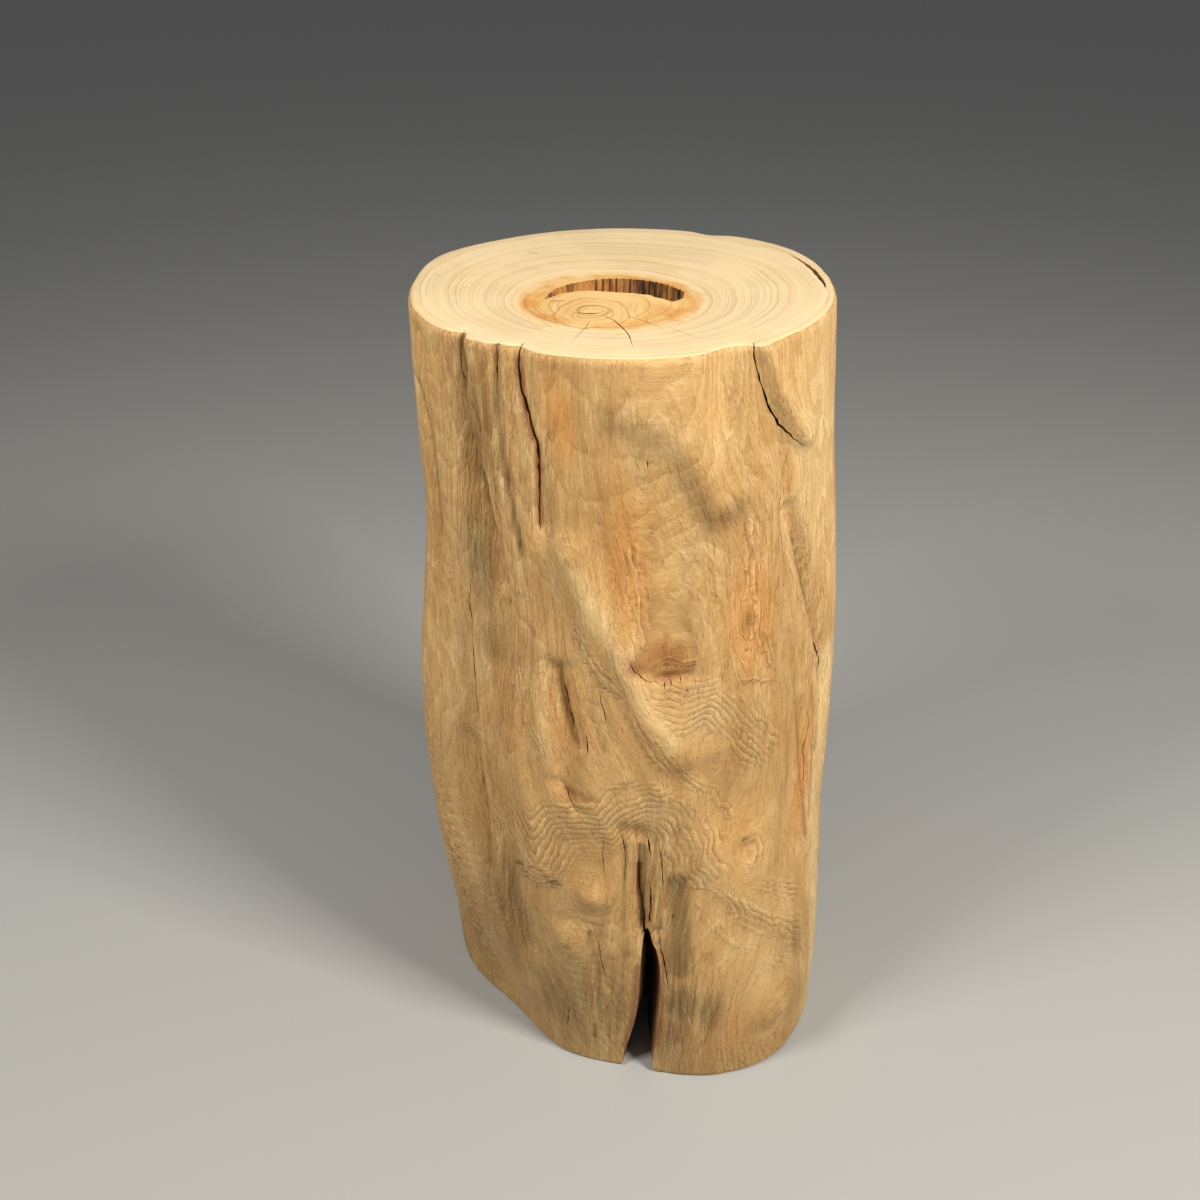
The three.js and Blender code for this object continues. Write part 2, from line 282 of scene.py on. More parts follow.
def waves(seed, count, around, length, flatter, sideways, height):
    """A sum of waves over the side, each with its own random length and lean.

    around: how many go round the log, from and to. length: how far up they reach, from and
    to. flatter: how much smaller the short ones are.
    """
    draw = np.random.default_rng(seed)
    total = np.zeros(np.shape(height))
    for _ in range(count):
        number = draw.integers(*around)
        rise = draw.uniform(-1, 1) / draw.uniform(*length)
        phase = draw.uniform(0, 2 * math.pi)
        size = (RIB_REFERENCE / number) ** flatter
        total = total + size * np.cos(number * sideways + 2 * math.pi * rise * height + phase)
    return total


def wander(angle, height):
    """The fibres' own slow wandering from side to side, in millimetres."""
    total = waves(23, WANDER_WAVES, (2, 10), (70, 240), 0, np.radians(angle), height)
    return total * WANDER_SIZE


def fibre_push(angle, height):
    """How far the fibre at each point has been pushed sideways, in millimetres."""
    push = wander(angle, height)
    for at, up, eye, long in KNOTS.values():
        x = np.radians(turn(angle, at)) * USUAL_RADIUS
        y = (height - up) / long
        near = np.exp(-((x / KNOT_REACH) ** 2))
        push = push - near * x * eye**2 / (x**2 + y**2 + (KNOT_SOFTNESS * eye) ** 2)
    for at, up, wide, tall, amount in LEANS.values():
        sideways = turn(angle, at) / wide
        push = push - amount * np.exp(-(sideways**2)) * np.tanh((height - up) / tall)
    return push


def grain_place(angle, height, radius):
    """Where each point would be in a log whose fibres are all straight, in millimetres."""
    straight = np.radians(angle) + fibre_push(angle, height) / USUAL_RADIUS
    return radius * np.cos(straight), radius * np.sin(straight), height


print("knots:", len(KNOTS), "leans:", len(LEANS))

# %% [markdown]
# ## Fine relief
#
# Under raking light the sanded side is full of faint ribs that follow the fibres, and of short
# cross ripples, the fiddleback figure, most of all along the left edge. Both are sums of waves
# with seeded random lengths. Narrow runs and small swells add the folds, gouges and knobs that
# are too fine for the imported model. So the mesh carries what is wider than a few millimetres,
# and the material only the rest.

# %% Fine relief
RIB_WAVES = 36
RIB_SIZE = 0.17
CALM_TOP = 45
CALM_FOOT = 30
CALM_SHARE = 0.25
RIPPLE_MIDDLE = -158
RIPPLE_SLANT = 1.44
# Each narrow run: rise, width, route.
FINE_RUNS = {
    "left groove": (-3.6, 3.2, [(-134.5, 764), (-132.4, 734), (-134.8, 712), (-132.9, 681),
        (-130, 655), (-127.4, 623), (-124, 580), (-121, 540)]),
    "edge of the left groove": (2.6, 4, [(-131, 764), (-129, 734), (-130.5, 700), (-127, 655),
        (-123, 610), (-119, 560)]),
    "left edge line": (-3.4, 3.6, [(-160, 700), (-151.5, 652), (-151, 589), (-153, 540)]),
    "rim groove": (-2.2, 3.4, [(-122.8, 764), (-122.4, 700), (-119, 640), (-115, 590)]),
    "rim rib": (1.6, 4, [(-119.6, 764), (-119.6, 700), (-116, 640), (-112, 580)]),
    "second rib": (1.4, 4.5, [(-126, 764), (-125.5, 700), (-121, 640), (-116, 560)]),
    "gouge, mid left": (-3.4, 5, [(-107.2, 492), (-104.8, 451), (-102.4, 415)]),
    "edge of the gouge": (1.8, 4, [(-103, 492), (-101.5, 455), (-99.5, 425)]),
    "gouge, mid": (-2, 4, [(-97.6, 490), (-95.5, 458), (-93.4, 420)]),
    "lip": (2.6, 6, [(-58.4, 764), (-56, 739), (-52.2, 717), (-47, 695), (-41, 672)]),
    "hollow beside the lip": (-2.4, 6, [(-53.5, 764), (-50, 730), (-45.5, 705), (-41, 690)]),
    "groove, right": (-4.2, 4.5, [(-45, 616), (-40, 583), (-36, 555), (-26, 460), (-21.5, 400)]),
    "fold, left": (-3, 4, [(-91.5, 332), (-89.3, 300), (-88.9, 262), (-87, 212)]),
    "fold, middle": (-3, 3.6, [(-84.8, 302), (-84.5, 250), (-83, 204)]),
    "fold, right": (-2.6, 4, [(-79.6, 310), (-78.2, 272), (-77.6, 226)]),
    "rib between the folds": (2, 4, [(-87, 305), (-86.4, 255), (-85.2, 210)]),
    "rib right of the folds": (1.8, 4.5, [(-81.6, 300), (-80.8, 255), (-80, 205)]),
    "hollow, right streak": (-3, 5, [(-37, 418), (-34.1, 350), (-29.6, 271), (-28.1, 242)]),
    "pale rib, right": (2.6, 6, [(-33, 300), (-27, 240), (-22, 160), (-24, 80), (-30, 20)]),
    "edge of the bowl": (-3, 4.5, [(-89, 507), (-86, 494), (-80, 483), (-73, 485)]),
    "along the long crack": (-1.3, 4.5, [(-116.4, 775), (-115.4, 725), (-111.4, 690),
        (-111.2, 620)]),
    "cleft, left lip": (-3, 4.5, [(-84.4, 186), (-85.2, 100), (-88, 15)]),
    "cleft, right lip": (-3, 4.5, [(-79, 180), (-78.2, 100), (-79, 15)]),
    "over the apex": (-4, 5, [(-85, 275), (-84, 235), (-83, 200), (-82.6, 170)]),
    "scar": (-3, 4, [(-108.6, 374), (-105.2, 362), (-102.6, 342)]),
    "scar, right": (-2, 3.5, [(-104, 360), (-97.6, 357)]),
    "crack right of the cleft": (-2, 3.6, [(-79, 200), (-76.7, 146), (-76, 120)]),
    "left lobe, fold": (-2.4, 4, [(-98.3, 202), (-96.3, 165), (-94, 118)]),
    "left lobe, rib": (2, 5, [(-92, 180), (-91, 120), (-92, 40)]),
    "long crack, left edge": (1.4, 4, [(-118.6, 740), (-115, 705), (-113, 660), (-113, 600)]),
    "groove, lower left": (-3.2, 4, [(-136, 376), (-133.5, 320), (-132.3, 240)]),
    "dark line, left": (-3, 4, [(-134, 560), (-135.4, 500), (-133, 410)]),
    "back groove": (-2.4, 4, [(60, 712), (58, 640), (64, 520)]),
    "back rib": (2, 5, [(88, 700), (92, 560), (86, 500)]),
    "back fold": (-2.6, 4.5, [(136, 330), (133, 230), (138, 110)]),
}
FINE_SWELLS = {
    "knob of the left mound": (-98.6, 243, 4.2, 13, 3.8),
    "knob of the low mound": (-107, 186, 4, 13, 4),
    "brow of the right mound": (-53, 302, 6, 9, 2),
    "eye of the right mound": (-54.4, 284, 3.4, 10, -2.5),
    "swirl": (-65.5, 405, 3.5, 10, 2),
    "foot knob": (-47, 72, 6, 14, 2.5),
    "dot under the rim": (-85.3, 680, 1.6, 5, -1.5),
    "step under the arch": (-84, 316, 5, 8, -2),
    "yellow spot": (-54.3, 503, 3, 18, -1.5),
}
# Each patch of cross ripples: angle, height, width, height, lean, depth in millimetres.
RIPPLES = {
    "left edge": (-150, 190, 13, 190, 0, 1.0),
    "beside the cleft": (-103, 215, 6, 90, 0, 0.3),
    "right cheek": (-62, 380, 8, 60, 0, 0.22),
    "back": (150, 300, 18, 150, 0, 0.35),
    "right flank": (10, 200, 14, 120, 0, 0.3),
}
RIPPLE_LENGTH = 11


def ribs(angle, height):
    """Faint ribs along the fibres: waves that are short across them and long along them."""
    straight = np.radians(angle) + fibre_push(angle, height) / USUAL_RADIUS
    total = waves(11, RIB_WAVES, (22, 96), (140, 420), 0.7, straight, height) * RIB_SIZE
    below_top = np.clip((HEIGHT - height) / CALM_TOP, 0, 1)
    above_foot = np.clip(height / CALM_FOOT, 0, 1)
    return total * (CALM_SHARE + (1 - CALM_SHARE) * below_top * above_foot)


def ripples(angle, height):
    """Short waves across the fibres, in patches."""
    total = np.zeros(np.shape(angle))
    slant = turn(angle, RIPPLE_MIDDLE) * RIPPLE_SLANT
    wobble = 3 * np.sin(height / 41 + angle / 9) + 2 * np.sin(height / 17 - angle / 5)
    wave = np.sin(2 * math.pi * (height + slant + wobble) / RIPPLE_LENGTH)
    for at, up, wide, tall, lean, depth in RIPPLES.values():
        total = total + depth * wave * mound(angle, height, (at, up), wide, tall, lean)
    return total


def side_radius(angle, height):
    """The side as it is seen, with its fine relief."""
    radius = smooth_side(angle, height) + ribs(angle, height) + ripples(angle, height)
    return with_relief(radius, angle, height, FINE_SWELLS, FINE_RUNS)


check_angles = np.linspace(-180, 180, 400)
check_heights = np.full(400, 380.0)
print("ribs reach", float(np.abs(ribs(check_angles, check_heights)).max().round(2)), "mm")

# %% [markdown]
# ## The turned blank
#
# The blank is a line from the middle of the base, out and up the side and back to the middle
# of the top, spun round the plumb line. Spinning makes the caps and the side in one go, with
# no seam once the first and last copies are merged. Then each point moves out to the side's
# own radius. The columns stand closer at the front, where the cleft and the cracks are.

# %% Turned blank
COLUMNS = 330
ROWS = 244
FRONT_CLOSER = 0.34
TOP_EDGE_RADIUS = 6
BASE_EDGE_RADIUS = 4
CAP_RINGS = (0.25, 0.5, 0.72, 0.88)


def edge_points(radius, centre, start, end, steps):
    """A quarter round of the profile, as a share of the usual radius and a height."""
    for angle in np.radians(np.linspace(start, end, steps + 1)):
        yield 1 - radius * (1 - math.cos(angle)) / USUAL_RADIUS, centre + radius * math.sin(angle)


def blank_profile():
    """The line that is spun: share of the radius, and height."""
    points = [(0, 0)] + [(ring, 0) for ring in CAP_RINGS]
    points += edge_points(BASE_EDGE_RADIUS, BASE_EDGE_RADIUS, -90, 0, 4)
    low = BASE_EDGE_RADIUS
    high = HEIGHT - TOP_EDGE_RADIUS
    points += [(1, low + (high - low) * row / ROWS) for row in range(1, ROWS)]
    points += edge_points(TOP_EDGE_RADIUS, high, 0, 90, 5)
    return points + [(ring, HEIGHT) for ring in reversed(CAP_RINGS)] + [(0, HEIGHT)]


def spun(profile, steps):
    """A profile of share and height, spun round the plumb line."""
    mesh = bmesh.new()
    line = [mesh.verts.new((share, 0, height)) for share, height in profile]
    edges = [mesh.edges.new(pair) for pair in zip(line, line[1:])]
    bmesh.ops.spin(mesh, geom=line + edges, cent=(0, 0, 0), axis=(0, 0, 1), dvec=(0, 0, 0),
                   angle=2 * math.pi, steps=steps, use_merge=True, use_duplicate=False)
    bmesh.ops.remove_doubles(mesh, verts=mesh.verts, dist=5e-4)
    bmesh.ops.recalc_face_normals(mesh, faces=mesh.faces)
    return mesh


def shape_blank(mesh):
    """Moves the points of the blank out to the side, and closer together at the front."""
    places = np.array([vert.co for vert in mesh.verts])
    share = np.hypot(places[:, 0], places[:, 1])
    height = places[:, 2]
    even = np.arctan2(places[:, 1], places[:, 0])
    angle = np.degrees(even + FRONT_CLOSER * np.cos(even))
    radius = share * side_radius(angle, height)
    x = radius * np.cos(np.radians(angle)) - PLUMB_TO_MIDDLE[0]
    y = radius * np.sin(np.radians(angle)) - PLUMB_TO_MIDDLE[1]
    x = np.clip(x, low_corner.x / MM, high_corner.x / MM)
    y = np.clip(y, low_corner.y / MM, high_corner.y / MM)
    for vert, place in zip(mesh.verts, np.stack([x, y, height], 1) * MM):
        vert.co = place


blank = spun(blank_profile(), COLUMNS)
shape_blank(blank)
print("blank:", len(blank.verts), "points,", len(blank.faces), "faces")

# %% [markdown]
# Angle `even + 0.34 cos(even)` grows slowest at the front, where `even` is -90 degrees, so the
# columns crowd there. The faces get four finishes: the sanded side, the sawn ends, the raw
# wood inside cracks and hollows, and the charred-looking wall of the pit.

# %% Finishes as material slots
SANDED_SIDE = 0
SAWN_END = 1
RAW_INSIDE = 2
PIT_WALL = 3
finishes = [bpy.data.materials.new(name) for name in (
    "sanded side", "sawn end", "raw inside", "pit wall")]
for finish in finishes:
    finish.use_nodes = True


def piece_from(mesh, name):
    """A mesh that was built with bmesh becomes an object with the four finishes."""
    data = bpy.data.meshes.new(name)
    mesh.to_mesh(data)
    mesh.free()
    for finish in finishes:
        data.materials.append(finish)
    return placed(name, data)


for face in blank.faces:
    heights = [vert.co.z / MM for vert in face.verts]
    level_top = min(heights) > HEIGHT - TOP_EDGE_RADIUS * 0.25
    level_base = max(heights) < 0.5
    face.material_index = SAWN_END if level_top or level_base else SANDED_SIDE
log = piece_from(blank, "log")
print("finishes:", ", ".join(finish.name for finish in finishes))

# %% [markdown]
# ## Cutting tools
#
# Each crack or hollow is cut by a solid of its own shape, as a chisel would. A crack's cutter
# is a thin spindle: its outline follows the crack with a slightly ragged edge, and is extruded
# inwards, where it narrows. Cracks in the side are laid out on the side unrolled about the
# crack's middle. A crack that undercuts a lip leans to one hand.

# %% Cutters
jitter = np.random.default_rng(5)
# How far a cutter stands out of the side, and out of the top.
OUTSIDE = 14
ABOVE_TOP = 6
SIDE_NARROWING = 0.35


def ragged_route(route, step=4.0, ragged=0.25):
    """More points along a route, each moved a little, with its half widths."""
    places = np.array(route, float)
    lengths = np.hypot(*np.diff(places[:, :2], axis=0).T)
    at = np.concatenate([[0], np.cumsum(lengths)])
    count = max(int(at[-1] / step), 2)
    t = np.linspace(0, at[-1], count + 1)
    x, y, half = (np.interp(t, at, places[:, k]) for k in range(3))
    shake = jitter.normal(0, ragged, (3, count + 1))
    shake[:, 0] = 0
    shake[:, -1] = 0
    half = np.maximum(half * (1 + 0.6 * shake[2]), 0.06)
    return np.stack([x + shake[0], y + shake[1] * 0.5, half], 1)


def extruded(mesh, rim, move):
    """A face inside the rim, pulled out into a solid; gives the points of its far end."""
    face = mesh.faces.new([mesh.verts.new(place) for place in rim])
    made = bmesh.ops.extrude_face_region(mesh, geom=[face])["geom"]
    far_end = [item for item in made if isinstance(item, bmesh.types.BMVert)]
    bmesh.ops.translate(mesh, verts=far_end, vec=move)
    return far_end


def spindle_cutter(route, depth, outside, narrowing):
    """A blade along a route in a plane: x and y as drawn, and z from -depth to outside."""
    x, y, half = route.T
    way_x = np.gradient(x)
    way_y = np.gradient(y)
    length = np.hypot(way_x, way_y)
    off_x = -way_y / length * half
    off_y = way_x / length * half
    mesh = bmesh.new()
    left = [(a, b, outside) for a, b in zip(x + off_x, y + off_y)]
    right = [(a, b, outside) for a, b in zip(x - off_x, y - off_y)]
    middle = np.stack([x, y], 1)
    for vert in extruded(mesh, left + right[::-1], (0, 0, -depth - outside)):
        gaps = np.hypot(middle[:, 0] - vert.co.x, middle[:, 1] - vert.co.y)
        near = middle[int(gaps.argmin())]
        vert.co.x = near[0] + (vert.co.x - near[0]) * narrowing
        vert.co.y = near[1] + (vert.co.y - near[1]) * narrowing
    return mesh


def to_block(mesh, matrix, finish=RAW_INSIDE):
    """Moves a cutter from its own millimetres to the block's place, in metres."""
    bmesh.ops.recalc_face_normals(mesh, faces=mesh.faces)
    shift = Matrix.Translation((-PLUMB_TO_MIDDLE[0], -PLUMB_TO_MIDDLE[1], 0))
    mesh.transform(Matrix.Scale(MM, 4) @ shift @ matrix)
    bmesh.ops.triangulate(mesh, faces=mesh.faces)
    for face in mesh.faces:
        face.material_index = finish
    return piece_from(mesh, "cutter")


def side_crack(route, depth, lean=0, ragged=0.25):
    """A cutter for a crack in the side; its route is angle, height and half width."""
    places = np.array(route, float)
    middle = (places[0, 0] + places[-1, 0]) / 2
    height = (places[0, 1] + places[-1, 1]) / 2
    radius = float(smooth_side(np.array(middle), np.array(height)))
    flat = places.copy()
    flat[:, 0] = radius * np.sin(np.radians(places[:, 0] - middle))
    blade = spindle_cutter(ragged_route(flat, ragged=ragged), depth, OUTSIDE, SIDE_NARROWING)
    out = Vector((math.cos(math.radians(middle)), math.sin(math.radians(middle)), 0))
    across = Vector((-out.y, out.x, 0))
    inward = Matrix.Rotation(math.radians(-lean), 3, "Z") @ out
    place = Matrix((across, (0, 0, 1), inward)).transposed().to_4x4()
    place.translation = out * radius
    return to_block(blade, place)


def top_crack(route, depth, narrowing=0.5):
    """A cutter for a check in the sawn top; its route is in plan from the plumb line."""
    blade = spindle_cutter(ragged_route(route, ragged=0.15), depth, ABOVE_TOP, narrowing)
    return to_block(blade, Matrix.Translation((0, 0, HEIGHT)))


print("cutters are ready")

# %% [markdown]
# The cracks, as they are seen. The two long ones open at the rim: one straight, one that runs
# under a raised lip. The rest are short drying cracks at the knots, over the cleft, and a few
# at the back, where the photograph doesn't reach. A crack looks black from a few millimetres
# down, so none has to be cut deep.

# %% Cracks
# Each crack: depth, lean, and a route of angle, height and half width.
SIDE_CRACKS = {
    "long crack": (14, 0, [(-116.4, 775, 1.2), (-116.7, 740, 1.9), (-115.4, 725, 2.5),
        (-113.2, 710, 2.2), (-111.4, 690, 1.7), (-111.0, 664, 1.4), (-111.3, 640, 0.9),
        (-111.1, 614, 0.1)]),
    "under the lip": (16, 38, [(-61.4, 775, 1.0), (-61.0, 751, 1.2), (-58.6, 731, 1.4),
        (-55.1, 709, 1.6), (-51.4, 693, 1.4), (-46.7, 680, 1.1), (-41.8, 667, 0.1)]),
    "below the lip": (9, 0, [(-46.1, 671, 0.1), (-47.7, 654, 0.5), (-49.0, 625, 0.6),
        (-48.3, 604, 0.6), (-46.5, 580, 0.5), (-45.6, 566, 0.1)]),
    "in the long groove": (16, 0, [(-41, 590, 0.1), (-37, 557, 0.7), (-32.4, 509, 0.8),
        (-26, 462, 0.8), (-21.6, 430, 0.6), (-22.2, 400, 0.1)]),
    "right streak": (8, 0, [(-34, 415, 0.1), (-31.4, 385, 0.8), (-33.0, 360, 0.9),
        (-31.2, 322, 0.6), (-30, 290, 0.1)]),
    "right streak, low": (6, 0, [(-34.5, 330, 0.1), (-33.2, 299, 0.6), (-29, 246, 0.1)]),
    "lower left": (10, 0, [(-136.2, 376, 0.1), (-134.5, 341, 0.7), (-132.3, 304, 0.8),
        (-132.3, 262, 0.9), (-132.3, 236, 0.1)]),
    "dark line, left": (9, 0, [(-134.2, 560, 0.1), (-136.0, 531, 0.6), (-134.4, 477, 0.8),
        (-133.7, 434, 1.0), (-131.7, 405, 0.1)]),
    "mid left": (12, 0, [(-106.9, 490, 0.2), (-106.2, 473, 0.9), (-104.4, 448, 1.1),
        (-102.4, 416, 0.2)]),
    "mid": (8, 0, [(-97.3, 486, 0.1), (-95.5, 458, 0.6), (-93.6, 426, 0.1)]),
    "mid low": (8, 0, [(-99.9, 431, 0.2), (-99.6, 420, 1.2), (-99.9, 406, 0.2)]),
    "scar": (8, 0, [(-107.4, 374, 0.2), (-105.4, 360, 1.1), (-102.4, 338, 0.2)]),
    "over the cleft, far left": (8, 0, [(-95.4, 318, 0.1), (-95.3, 290, 0.6), (-95.1, 262, 0.1)]),
    "over the cleft, left": (9, 0, [(-91.8, 330, 0.1), (-89.3, 304, 0.9), (-88.9, 265, 0.1)]),
    "over the cleft": (14, 0, [(-85.3, 302, 0.1), (-84.7, 270, 0.7), (-84.3, 240, 0.7),
        (-83.0, 215, 1.0), (-82.8, 190, 2.0)]),
    "over the cleft, inner": (12, 0, [(-81.9, 264, 0.1), (-81.6, 240, 1.0), (-81.4, 208, 1.2)]),
    "over the cleft, mid": (8, 0, [(-83.0, 318, 0.2), (-82.4, 305, 1.5), (-81.8, 290, 0.2)]),
    "over the cleft, right": (9, 0, [(-79.6, 308, 0.1), (-78.4, 272, 1.1), (-77.9, 238, 0.1)]),
    "right of the cleft": (9, 0, [(-79.3, 205, 0.1), (-78.0, 172, 0.9), (-76.6, 144, 1.0),
        (-76.0, 120, 0.1)]),
    "left lobe": (8, 0, [(-98.3, 202, 0.1), (-96.3, 165, 0.8), (-94.0, 120, 0.1)]),
    "left lobe, low": (8, 0, [(-106.6, 78, 0.1), (-107.5, 60, 1.1), (-108.3, 44, 0.1)]),
    "edge of the bowl": (8, 0, [(-89.0, 509, 0.2), (-87.2, 496, 1.1), (-82.5, 480, 0.2)]),
    "rim, left": (8, 0, [(-122.7, 770, 0.5), (-122.5, 746, 0.8), (-122.3, 706, 0.1)]),
    "rim, far left": (7, 0, [(-134.7, 770, 0.5), (-134.6, 742, 0.7), (-133.6, 702, 0.1)]),
    "left edge": (7, 0, [(-153.4, 716, 0.1), (-151.1, 683, 0.6), (-151.0, 640, 0.6),
        (-151.5, 590, 0.1)]),
    "back, high": (20, 0, [(60, 745, 0.1), (59, 715, 1.3), (57.5, 650, 1.2), (59, 590, 0.1)]),
    "back, low": (12, 0, [(136, 300, 0.1), (133, 240, 1.0), (137, 170, 0.9), (139, 120, 0.1)]),
    "left flank": (10, 0, [(-176, 470, 0.1), (-175.5, 410, 0.9), (-172, 330, 0.1)]),
    "right flank": (10, 0, [(14, 430, 0.1), (12, 370, 1.0), (16, 300, 0.1)]),
    "heel": (14, 0, [(100, 110, 0.1), (98, 50, 1.0), (99, -12, 1.4)]),
}
# Pin holes and pits of the side: angle, height, half width.
PIN_HOLES = [(-75.1, 218, 1.6), (-85.3, 680, 1.5), (-122.6, 741, 1.6), (-79.3, 477, 1.1),
             (-77.5, 479, 1.2), (-74.9, 481, 1.1), (-73.2, 470, 1.0), (-55.5, 295, 1.1)]

crack_cutters = [side_crack(route, depth, lean, ragged=0.4)
                 for depth, lean, route in SIDE_CRACKS.values()]
crack_cutters += [side_crack([(a, h + 3, 0.2), (a, h, half), (a, h - 3.5, 0.2)], 6, ragged=0.05)
                  for a, h, half in PIN_HOLES]
print("side cracks:", len(SIDE_CRACKS), "pin holes:", len(PIN_HOLES))

# %% [markdown]
# ## The top: pit, checks and the lifted ring
#
# The heart has broken away from the wood round it, and left a crescent pit. Its back wall is
# an arc with flutes, where the wood fibres tore, and its front is the ragged edge of the
# heart. Fine checks run out from the heart, and under the right rim one growth ring has come
# away and left a narrow gap.

# %% Pit and checks
PIT = {"x": -6, "y": -47, "radius": 57, "depth": 34, "start": 178, "end": 20}
FLUTES = 28
PIT_ABOVE_TOP = 8
HEART_EDGE = [(46, -43), (38, -52), (32, -46), (24, -40), (18, -33), (4, -29), (-12, -26),
              (-28, -22), (-40, -24), (-52, -32)]


def pit_cutter():
    """The crescent: fluted arc, then the broken edge of the heart, extruded downwards."""
    draw = np.random.default_rng(3)
    outline = []
    for i, angle in enumerate(np.radians(np.linspace(PIT["start"], PIT["end"], FLUTES * 3))):
        bulge = draw.uniform(0.8, 3.0) if i % 3 == 1 else draw.uniform(0, 0.6)
        radius = PIT["radius"] + bulge
        outline.append((PIT["x"] + radius * math.cos(angle), PIT["y"] + radius * math.sin(angle)))
    broken = [(x, y, 0) for x, y in HEART_EDGE]
    outline += [(x, y) for x, y, _ in ragged_route(broken, step=3.5, ragged=0.5)]
    mesh = bmesh.new()
    rim = [(x, y, PIT_ABOVE_TOP) for x, y in outline]
    extruded(mesh, rim, (0, 0, -PIT_ABOVE_TOP - PIT["depth"]))
    return to_block(mesh, Matrix.Translation((0, 0, HEIGHT)), PIT_WALL)


RING_GAP = [(147, 92, 0.1), (153, 72, 0.8), (158, 54, 1.5), (162, 36, 2.0), (164, 14, 1.9),
            (165, -4, 1.2), (164, -16, 0.1)]
RING_LINE = [(120, 122, 0.1), (134, 110, 0.4), (147, 92, 0.5)]
TOP_CHECKS = {
    "long check": (14, [(-19, -85, 0.2), (-10, -96, 0.5), (-3, -115, 0.6), (1, -130, 0.5),
        (4, -158, 0.1)]),
    "left check": (8, [(-28, -98, 0.1), (-30, -113, 0.3), (-35, -128, 0.25), (-41, -148, 0.1)]),
    "right check": (8, [(-1, -86, 0.1), (14, -99, 0.35), (28, -119, 0.1)]),
    "right check, outer": (6, [(30, -112, 0.1), (40, -124, 0.3), (54, -140, 0.1)]),
    "pith": (16, [(-41, -79, 0.2), (-33, -80.5, 0.9), (-26, -82, 1.3), (-18, -79, 0.2)]),
    "slit at the left horn": (8, [(-60, -49, 0.2), (-54, -50, 1.2), (-47, -49.5, 0.2)]),
    "far mark": (5, [(-86, 98, 0.1), (-80, 90, 0.5), (-74, 84, 0.1)]),
}

top_cutters = [pit_cutter(), top_crack(RING_GAP, 24, 0.8), top_crack(RING_LINE, 8)]
top_cutters += [top_crack(route, depth) for depth, route in TOP_CHECKS.values()]
print("top cuts:", len(top_cutters))

# %% [markdown]
# ## The cleft in the foot
#
# The foot has split and rotted out: a tapering cleft that leads into a hollow over the floor.
# The cleft's outline is drawn as the front shows it, extruded towards the back and drawn
# together there. The hollow is a spun dome, stretched front to back, with wavy walls.

# %% Cleft and hollow
CLEFT_FRONT = -240
CLEFT_DEPTH = 130
CLEFT_MIDDLE = 24
CLEFT_NARROWING = 0.4
CLEFT_LEFT_SLANT = 7
CLEFT_CUTS = 13
CLEFT_LEFT_SIDE = 3
CLEFT_ROUGHNESS = 0.35
CLEFT_OUTLINE = [(2, -12), (3, 8), (5, 24), (9, 42), (13, 62), (16, 84), (17.5, 104), (18, 128),
                 (19, 150), (20, 174), (21.5, 188), (23, 195), (25.3, 197.5), (27.8, 194),
                 (31, 181), (34.5, 168), (37.5, 150), (38.5, 131), (38, 101), (37, 76), (36, 52),
                 (34.5, 26), (34, 10), (36, -12)]
HOLLOW_MIDDLE = (21, -66)
HOLLOW_HALF = (33, 64)
HOLLOW_COLUMNS = 56
HOLLOW_PROFILE = [(0, -12), (1, -12), (0.98, 20), (0.97, 45), (0.92, 72), (0.86, 95),
                  (0.75, 120), (0.62, 140), (0.46, 156), (0.3, 168), (0.14, 174), (0, 176)]


def cleft_cutter():
    """The cleft: full size as far as the side, then drawn together, with a slanted left wall."""
    draw = np.random.default_rng(8)
    mesh = bmesh.new()
    extruded(mesh, [(x, CLEFT_FRONT, z) for x, z in CLEFT_OUTLINE], (0, CLEFT_DEPTH, 0))
    sides = [edge for edge in mesh.edges if abs(edge.verts[0].co.y - edge.verts[1].co.y) > 1]
    bmesh.ops.subdivide_edges(mesh, edges=sides, cuts=CLEFT_CUTS, use_grid_fill=True)
    for vert in mesh.verts:
        past = max(2 * (vert.co.y - CLEFT_FRONT) / CLEFT_DEPTH - 1, 0)
        width = 1 - CLEFT_NARROWING * past
        on_left = vert.co.x < CLEFT_MIDDLE - CLEFT_LEFT_SIDE
        left = CLEFT_LEFT_SLANT * min(2 * past, 1) if on_left else 0
        vert.co.x = CLEFT_MIDDLE + (vert.co.x - CLEFT_MIDDLE) * width + left
        vert.co.x += draw.normal(0, CLEFT_ROUGHNESS)
        vert.co.z = vert.co.z * width if vert.co.z > 0 else vert.co.z
    return to_block(mesh, Matrix.Identity(4))


def hollow_cutter():
    """The hollow: a spun dome, stretched front to back, with wavy walls."""
    mesh = spun(HOLLOW_PROFILE, HOLLOW_COLUMNS)
    for vert in mesh.verts:
        angle = math.atan2(vert.co.y, vert.co.x)
        wave = 1 + 0.03 * math.sin(7 * angle + vert.co.z / 30) + 0.02 * math.sin(17 * angle)
        vert.co.x *= wave * HOLLOW_HALF[0]
        vert.co.y *= wave * HOLLOW_HALF[1]
    bmesh.ops.translate(mesh, verts=mesh.verts, vec=(*HOLLOW_MIDDLE, 0))
    return to_block(mesh, Matrix.Identity(4))


foot_cutters = [cleft_cutter(), hollow_cutter()]
print("foot cuts:", len(foot_cutters))

# %% [markdown]
# ## Cutting
#
# A Boolean modifier takes each cutter out of the log in turn, and is applied at once, so the
# finished piece is a plain closed mesh. The faces that a cutter leaves keep its finish.

# %% Cutting
def points_of(piece):
    """The places of all points of a piece, a row for each."""
    places = np.zeros(len(piece.data.vertices) * 3)
    piece.data.vertices.foreach_get("co", places)
    return places.reshape(-1, 3)


